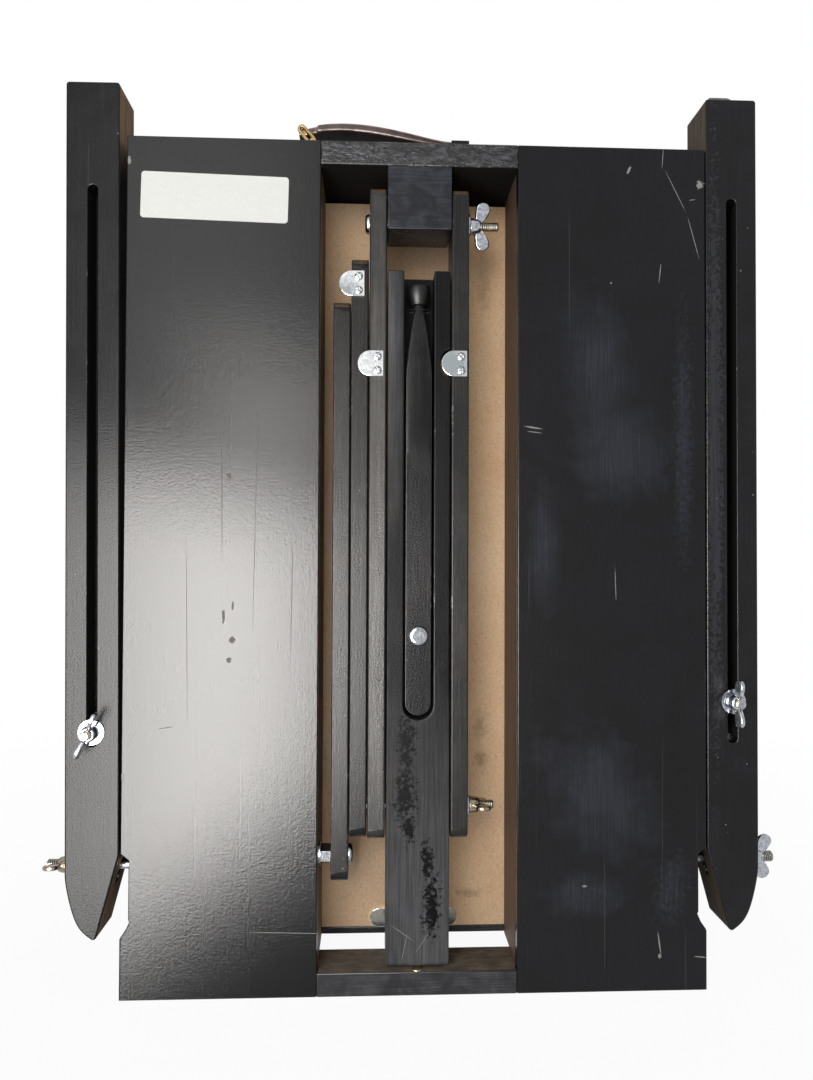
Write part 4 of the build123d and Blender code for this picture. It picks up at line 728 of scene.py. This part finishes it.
leaning = lean @ Matrix.Scale(-1, 4, (1, 0, 0))
wing_nut("leg_clamp_wing_nut_right", M5_BORE, along_y(LEG_MID, CLAMP_D, CLAMP_Z_RIGHT, 90), nut_zinc)
left_clamp = leaning @ along_y(LEG_MID, CLAMP_D, CLAMP_Z_LEFT, 114)
wing_nut("leg_clamp_wing_nut_left", M5_BORE, left_clamp, nut_zinc)

# Bolt threads: rolled steel threads show where each bolt stands out of its wing nut. They are
# drawn at a pitch of 1.2 mm so that the turns still show from across a room.
PITCH = 1.2


def threads(name, body, place, start, end, r):
    coil = bmesh.new()
    turns = round((end - start) / PITCH)
    line = [coil.verts.new((r - 0.4, 0, start))]
    for number in range(turns):
        low = start + number * (end - start) / turns
        line.append(coil.verts.new((r - 0.15, 0, low + 0.15)))
        line.append(coil.verts.new((r + 0.35, 0, low + 0.65)))
    line.append(coil.verts.new((r - 0.4, 0, end + 0.1)))
    edges = [coil.edges.new(pair) for pair in zip(line, line[1:] + line[:1])]
    around = dict(cent=(0, 0, 0), axis=(0, 0, 1), angle=2 * math.pi, steps=24, use_merge=True)
    bmesh.ops.spin(coil, geom=line + edges, **around)
    bmesh.ops.remove_doubles(coil, verts=coil.verts, dist=0.001)
    bmesh.ops.transform(coil, verts=coil.verts, matrix=place @ Matrix.Scale(0.001, 4))
    bmesh.ops.recalc_face_normals(coil, faces=coil.faces)
    add_piece(name, coil, [thread_zinc], body=body)


thread_zinc = zinc_plate("yellowed_zinc_on_threads", tint="#B5B19B", shadow="#77725F", rough=0.14)
M5_R, M6_R = 2.5, 3.0
threads("fork_pivot_threads", "fork", along_x(0, FORK_BOLT_D, FORK_PIVOT_Z), 39.2, 49.6, M5_R)
threads("knee_threads", "fork", along_x(0, FORK_BOLT_D, KNEE_Z), 39.2, 47.1, M5_R)
for side, way in (("right", 1), ("left", -1)):
    pivot_body = body_of["leg_pivot_bolt_" + side]
    clamp_body = body_of["leg_clamp_bolt_" + side]
    pivot_line = along_x(0, PIVOT_D, PIVOT_Z, side=way)
    threads(f"leg_pivot_threads_{side}", pivot_body, pivot_line, LEG_OUT + 8.8, LEG_OUT + 14.9, M6_R)
    clamp = along_y(LEG_MID, 0, CLAMP_Z_RIGHT) if way > 0 else leaning @ along_y(LEG_MID, 0, CLAMP_Z_LEFT)
    threads(f"leg_clamp_threads_{side}", clamp_body, clamp, 9.3, 12.7, M5_R)

# Rubber foot: a moulded black rubber ferrule pushed on the neck of the inner leg.


def moulded_rubber(name):
    # A fine mould grain under a millimetre across, and a soft dusty sheen.
    material, tree, place = new_material(name)
    grit = add(tree, "ShaderNodeTexNoise", Vector=place, Scale=1400, Detail=2).outputs[0]
    colour = ramp(tree, grit, [(0.3, linear("#0C0C0C")), (0.8, linear("#1C1B1A"))])
    bump = add(tree, "ShaderNodeBump", Height=grit, Strength=0.1, Distance=0.0002).outputs[0]
    shader = add(tree, "ShaderNodeBsdfPrincipled", Base_Color=colour, Roughness=0.42, Normal=bump, IOR=1.3)
    add(tree, "ShaderNodeOutputMaterial", Surface=shader.outputs[0])
    return material


coat("rear_foot", moulded_rubber("moulded_black_rubber"))

# Handle: a doubled strap of brown bridle leather, its rounded edges painted paler as a
# highlight line, on a slotted brass link and a black steel bracket.


def strap_leather(name, dark, pale):
    # Hide pores about a millimetre apart, and tone that shifts along the strap with handling.
    material, tree, place = new_material(name)
    pores = add(tree, "ShaderNodeTexVoronoi", Vector=place, Scale=1000).outputs["Distance"]
    tone = add(tree, "ShaderNodeTexNoise", Vector=place, Scale=110, Detail=4).outputs[0]
    colour = ramp(tree, tone, [(0.35, linear(dark)), (0.65, linear(pale))])
    bump = add(tree, "ShaderNodeBump", Height=pores, Strength=0.25, Distance=0.0003).outputs[0]
    shader = add(tree, "ShaderNodeBsdfPrincipled", Base_Color=colour, Roughness=0.32, Normal=bump)
    add(tree, "ShaderNodeOutputMaterial", Surface=shader.outputs[0])
    return material


leather = strap_leather("worn_brown_bridle_leather", "#2A1B17", "#4B3630")
edge_highlight_leather = strap_leather("leather_edge_painted_highlight", "#5A453D", "#8A756B")
# The rounded edge strip takes the paler leather, a painted highlight.
worn_board("handle_strap", [leather, edge_highlight_leather], round_mm=1.1, segments=4)
brass = zinc_plate("aged_brass_plate", tint="#8F7B57", shadow="#5C4B32", rough=0.2)
worn_board("handle_end_cap", [brass], round_mm=0.3)
worn_board("handle_link", [brass], round_mm=0.3)
worn_board("handle_brackets", [board_enamel, edge_light], round_mm=0.2)

# Paper label: a blank white sticker with rounded corners, stuck a little askew at the top of
# the left panel.
LABEL_W, LABEL_H, LABEL_T, LABEL_ROUND, LABEL_TURN = 87.9, 28.0, 0.12, 2.0, 1.35
LABEL_X, LABEL_Z, GLUE_T = -0.12355, 0.4776, 0.00001
sticker = bmesh.new()
sheet_size = Matrix.Diagonal((LABEL_W, LABEL_H, 1, 1))
bmesh.ops.create_grid(sticker, x_segments=1, y_segments=1, size=0.5, matrix=sheet_size)
bmesh.ops.bevel(
    sticker, geom=sticker.verts[:], offset=LABEL_ROUND, offset_type="OFFSET", segments=6, profile=0.5,
    affect="VERTICES", material=-1,
)
sheet = bmesh.ops.extrude_face_region(sticker, geom=sticker.faces[:])["geom"]
lifted = [item for item in sheet if isinstance(item, bmesh.types.BMVert)]
bmesh.ops.translate(sticker, verts=lifted, vec=(0, 0, LABEL_T))
stuck = Matrix.Translation((LABEL_X, UNDERSIDE_Y - GLUE_T, LABEL_Z))
askew = stuck @ Matrix.Rotation(math.radians(LABEL_TURN), 4, "Y")
upright = askew @ Matrix.Rotation(math.pi / 2, 4, "X") @ Matrix.Scale(0.001, 4)
bmesh.ops.transform(sticker, verts=sticker.verts, matrix=upright)
bmesh.ops.recalc_face_normals(sticker, faces=sticker.faces)
paper, tree, place = new_material("white_paper_sticker")
tooth = add(tree, "ShaderNodeTexNoise", Vector=place, Scale=900, Detail=3).outputs[0]
colour = ramp(tree, tooth, [(0.3, linear("#E7E7E1")), (0.7, linear("#EFEFE9"))])
shader = add(tree, "ShaderNodeBsdfPrincipled", Base_Color=colour, Roughness=0.55, IOR=1.3)
add(tree, "ShaderNodeOutputMaterial", Surface=shader.outputs[0])
add_piece("paper_label", sticker, [paper], body="case")

# Studio: a white sweep seen as plain white, and soft light all round. A window on the left, cut
# by a slanting bar, is picked up only by the gloss of the enamel and the plating.


def seen_directly(tree):
    # One for rays that reach a surface straight from the eye or by a mirror, and nought for others.
    paths = add(tree, "ShaderNodeLightPath").outputs
    share = paths["Is Camera Ray"]
    for name in ("Is Glossy Ray", "Is Transmission Ray"):
        either = add(tree, "ShaderNodeMath", {"operation": "MAXIMUM"}, _0=share, _1=paths[name])
        share = either.outputs[0]
    return share


sweep, tree, place = new_material("white_paper_floor")
away = add(tree, "ShaderNodeVectorMath", {"operation": "LENGTH"}, _0=place).outputs["Value"]
white_share = add(tree, "ShaderNodeMapRange", Value=away, _1=0.25, _2=0.9, _3=0.94, _4=1.0).outputs[0]
direct = seen_directly(tree)
seen = add(tree, "ShaderNodeMath", {"operation": "MULTIPLY"}, _0=direct, _1=white_share).outputs[0]
paper = add(tree, "ShaderNodeBsdfDiffuse", Color=(0.85, 0.85, 0.85, 1)).outputs[0]
white = add(tree, "ShaderNodeEmission", Color=(1, 1, 1, 1), Strength=1.0).outputs[0]
mixed = add(tree, "ShaderNodeMixShader", _0=seen, _1=paper, _2=white).outputs[0]
add(tree, "ShaderNodeOutputMaterial", Surface=mixed)
ground = bmesh.new()
bmesh.ops.create_grid(ground, x_segments=1, y_segments=1, size=8)
floor_mesh = bpy.data.meshes.new("floor")
ground.to_mesh(floor_mesh)
ground.free()
floor_mesh.materials.append(sweep)
floor = bpy.data.objects.new("floor", floor_mesh)
floor.visible_glossy = False
bpy.context.scene.collection.objects.link(floor)
floor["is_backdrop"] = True

world = bpy.data.worlds.new("studio_world")
world.use_nodes = True
tree = world.node_tree
tree.nodes.clear()
around = add(tree, "ShaderNodeBackground", Color=(0.98, 0.99, 1.0, 1), Strength=0.60).outputs[0]
behind = add(tree, "ShaderNodeBackground", Color=(1, 1, 1, 1), Strength=1.0).outputs[0]
both = add(tree, "ShaderNodeMixShader", _0=seen_directly(tree), _1=around, _2=behind).outputs[0]
add(tree, "ShaderNodeOutputWorld", Surface=both)
bpy.context.scene.world = world


WINDOW_TINT = (1.0, 0.975, 0.94)


def area_lamp(name, place, facing, size, power, slant=0.0, gloss=True):
    # A gloss lamp is only mirrored by the surfaces, and the other lamps only light them.
    data = bpy.data.lights.new(name, "AREA")
    data.shape = "RECTANGLE"
    data.size, data.size_y = size
    data.energy = power
    if gloss:
        data.color = WINDOW_TINT
    lamp = bpy.data.objects.new(name, data)
    turn = Vector(facing).to_track_quat("-Z", "Y").to_matrix() @ Matrix.Rotation(math.radians(slant), 3, "Z")
    lamp.matrix_world = Matrix.Translation(place) @ turn.to_4x4()
    lamp.visible_camera = False
    lamp.visible_diffuse = not gloss
    lamp.visible_glossy = gloss
    bpy.context.scene.collection.objects.link(lamp)


area_lamp("key", (-0.5, -1.9, 1.0), (0.5, 1.9, -0.7), (0.9, 0.9), 14, gloss=False)
# The low window is laid out in upright strips, because its top and its foot slant apart.
WINDOW_Y, WINDOW_LEFT, WINDOW_RIGHT, STRIPS = -0.456, -0.42, -0.05, 8
WINDOW_GLOW = 46
strip_w = (WINDOW_RIGHT - WINDOW_LEFT) / STRIPS
for number in range(STRIPS):
    x = WINDOW_LEFT + (number + 0.5) * strip_w
    top = 0.294 - 0.20 * x
    foot = 0.07647 + 0.79 * x
    share = max(0.62, 1.0 - 32 * (x + 0.185) ** 2)
    power = share * WINDOW_GLOW * math.pi * strip_w * (top - foot)
    middle = (x, WINDOW_Y, (top + foot) / 2)
    area_lamp(f"window_strip_{number}", middle, (0, 1, 0), (strip_w, top - foot), power)
area_lamp("window_haze", (-0.225, WINDOW_Y, 0.62), (0, 1, 0), (0.29, 0.34), 0.95)
area_lamp("window_upper_pane", (-0.146, WINDOW_Y, 0.425), (0, 1, 0), (0.155, 0.08), 0.80, slant=-20)

camera_data = bpy.data.cameras.new("camera")
camera_data.lens = 26.97
camera_data.sensor_width = 36
camera = bpy.data.objects.new("camera", camera_data)
CAMERA_PLACE, CAMERA_TURN = (-0.0279, -0.5566, 0.2634), (-2.405, 1.018, -0.220)
yaw, pitch, roll = (math.radians(angle) for angle in CAMERA_TURN)
turn = Matrix.Rotation(yaw, 3, "Z") @ Matrix.Rotation(pitch, 3, "X") @ Matrix.Rotation(roll, 3, "Y")
right, ahead, up = turn.col
axes = Matrix((right, up, -ahead)).transposed().to_4x4()
camera.matrix_world = Matrix.Translation(CAMERA_PLACE) @ axes
bpy.context.scene.collection.objects.link(camera)
bpy.context.scene.camera = camera
bpy.context.scene.view_settings.view_transform = "Standard"

low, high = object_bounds()
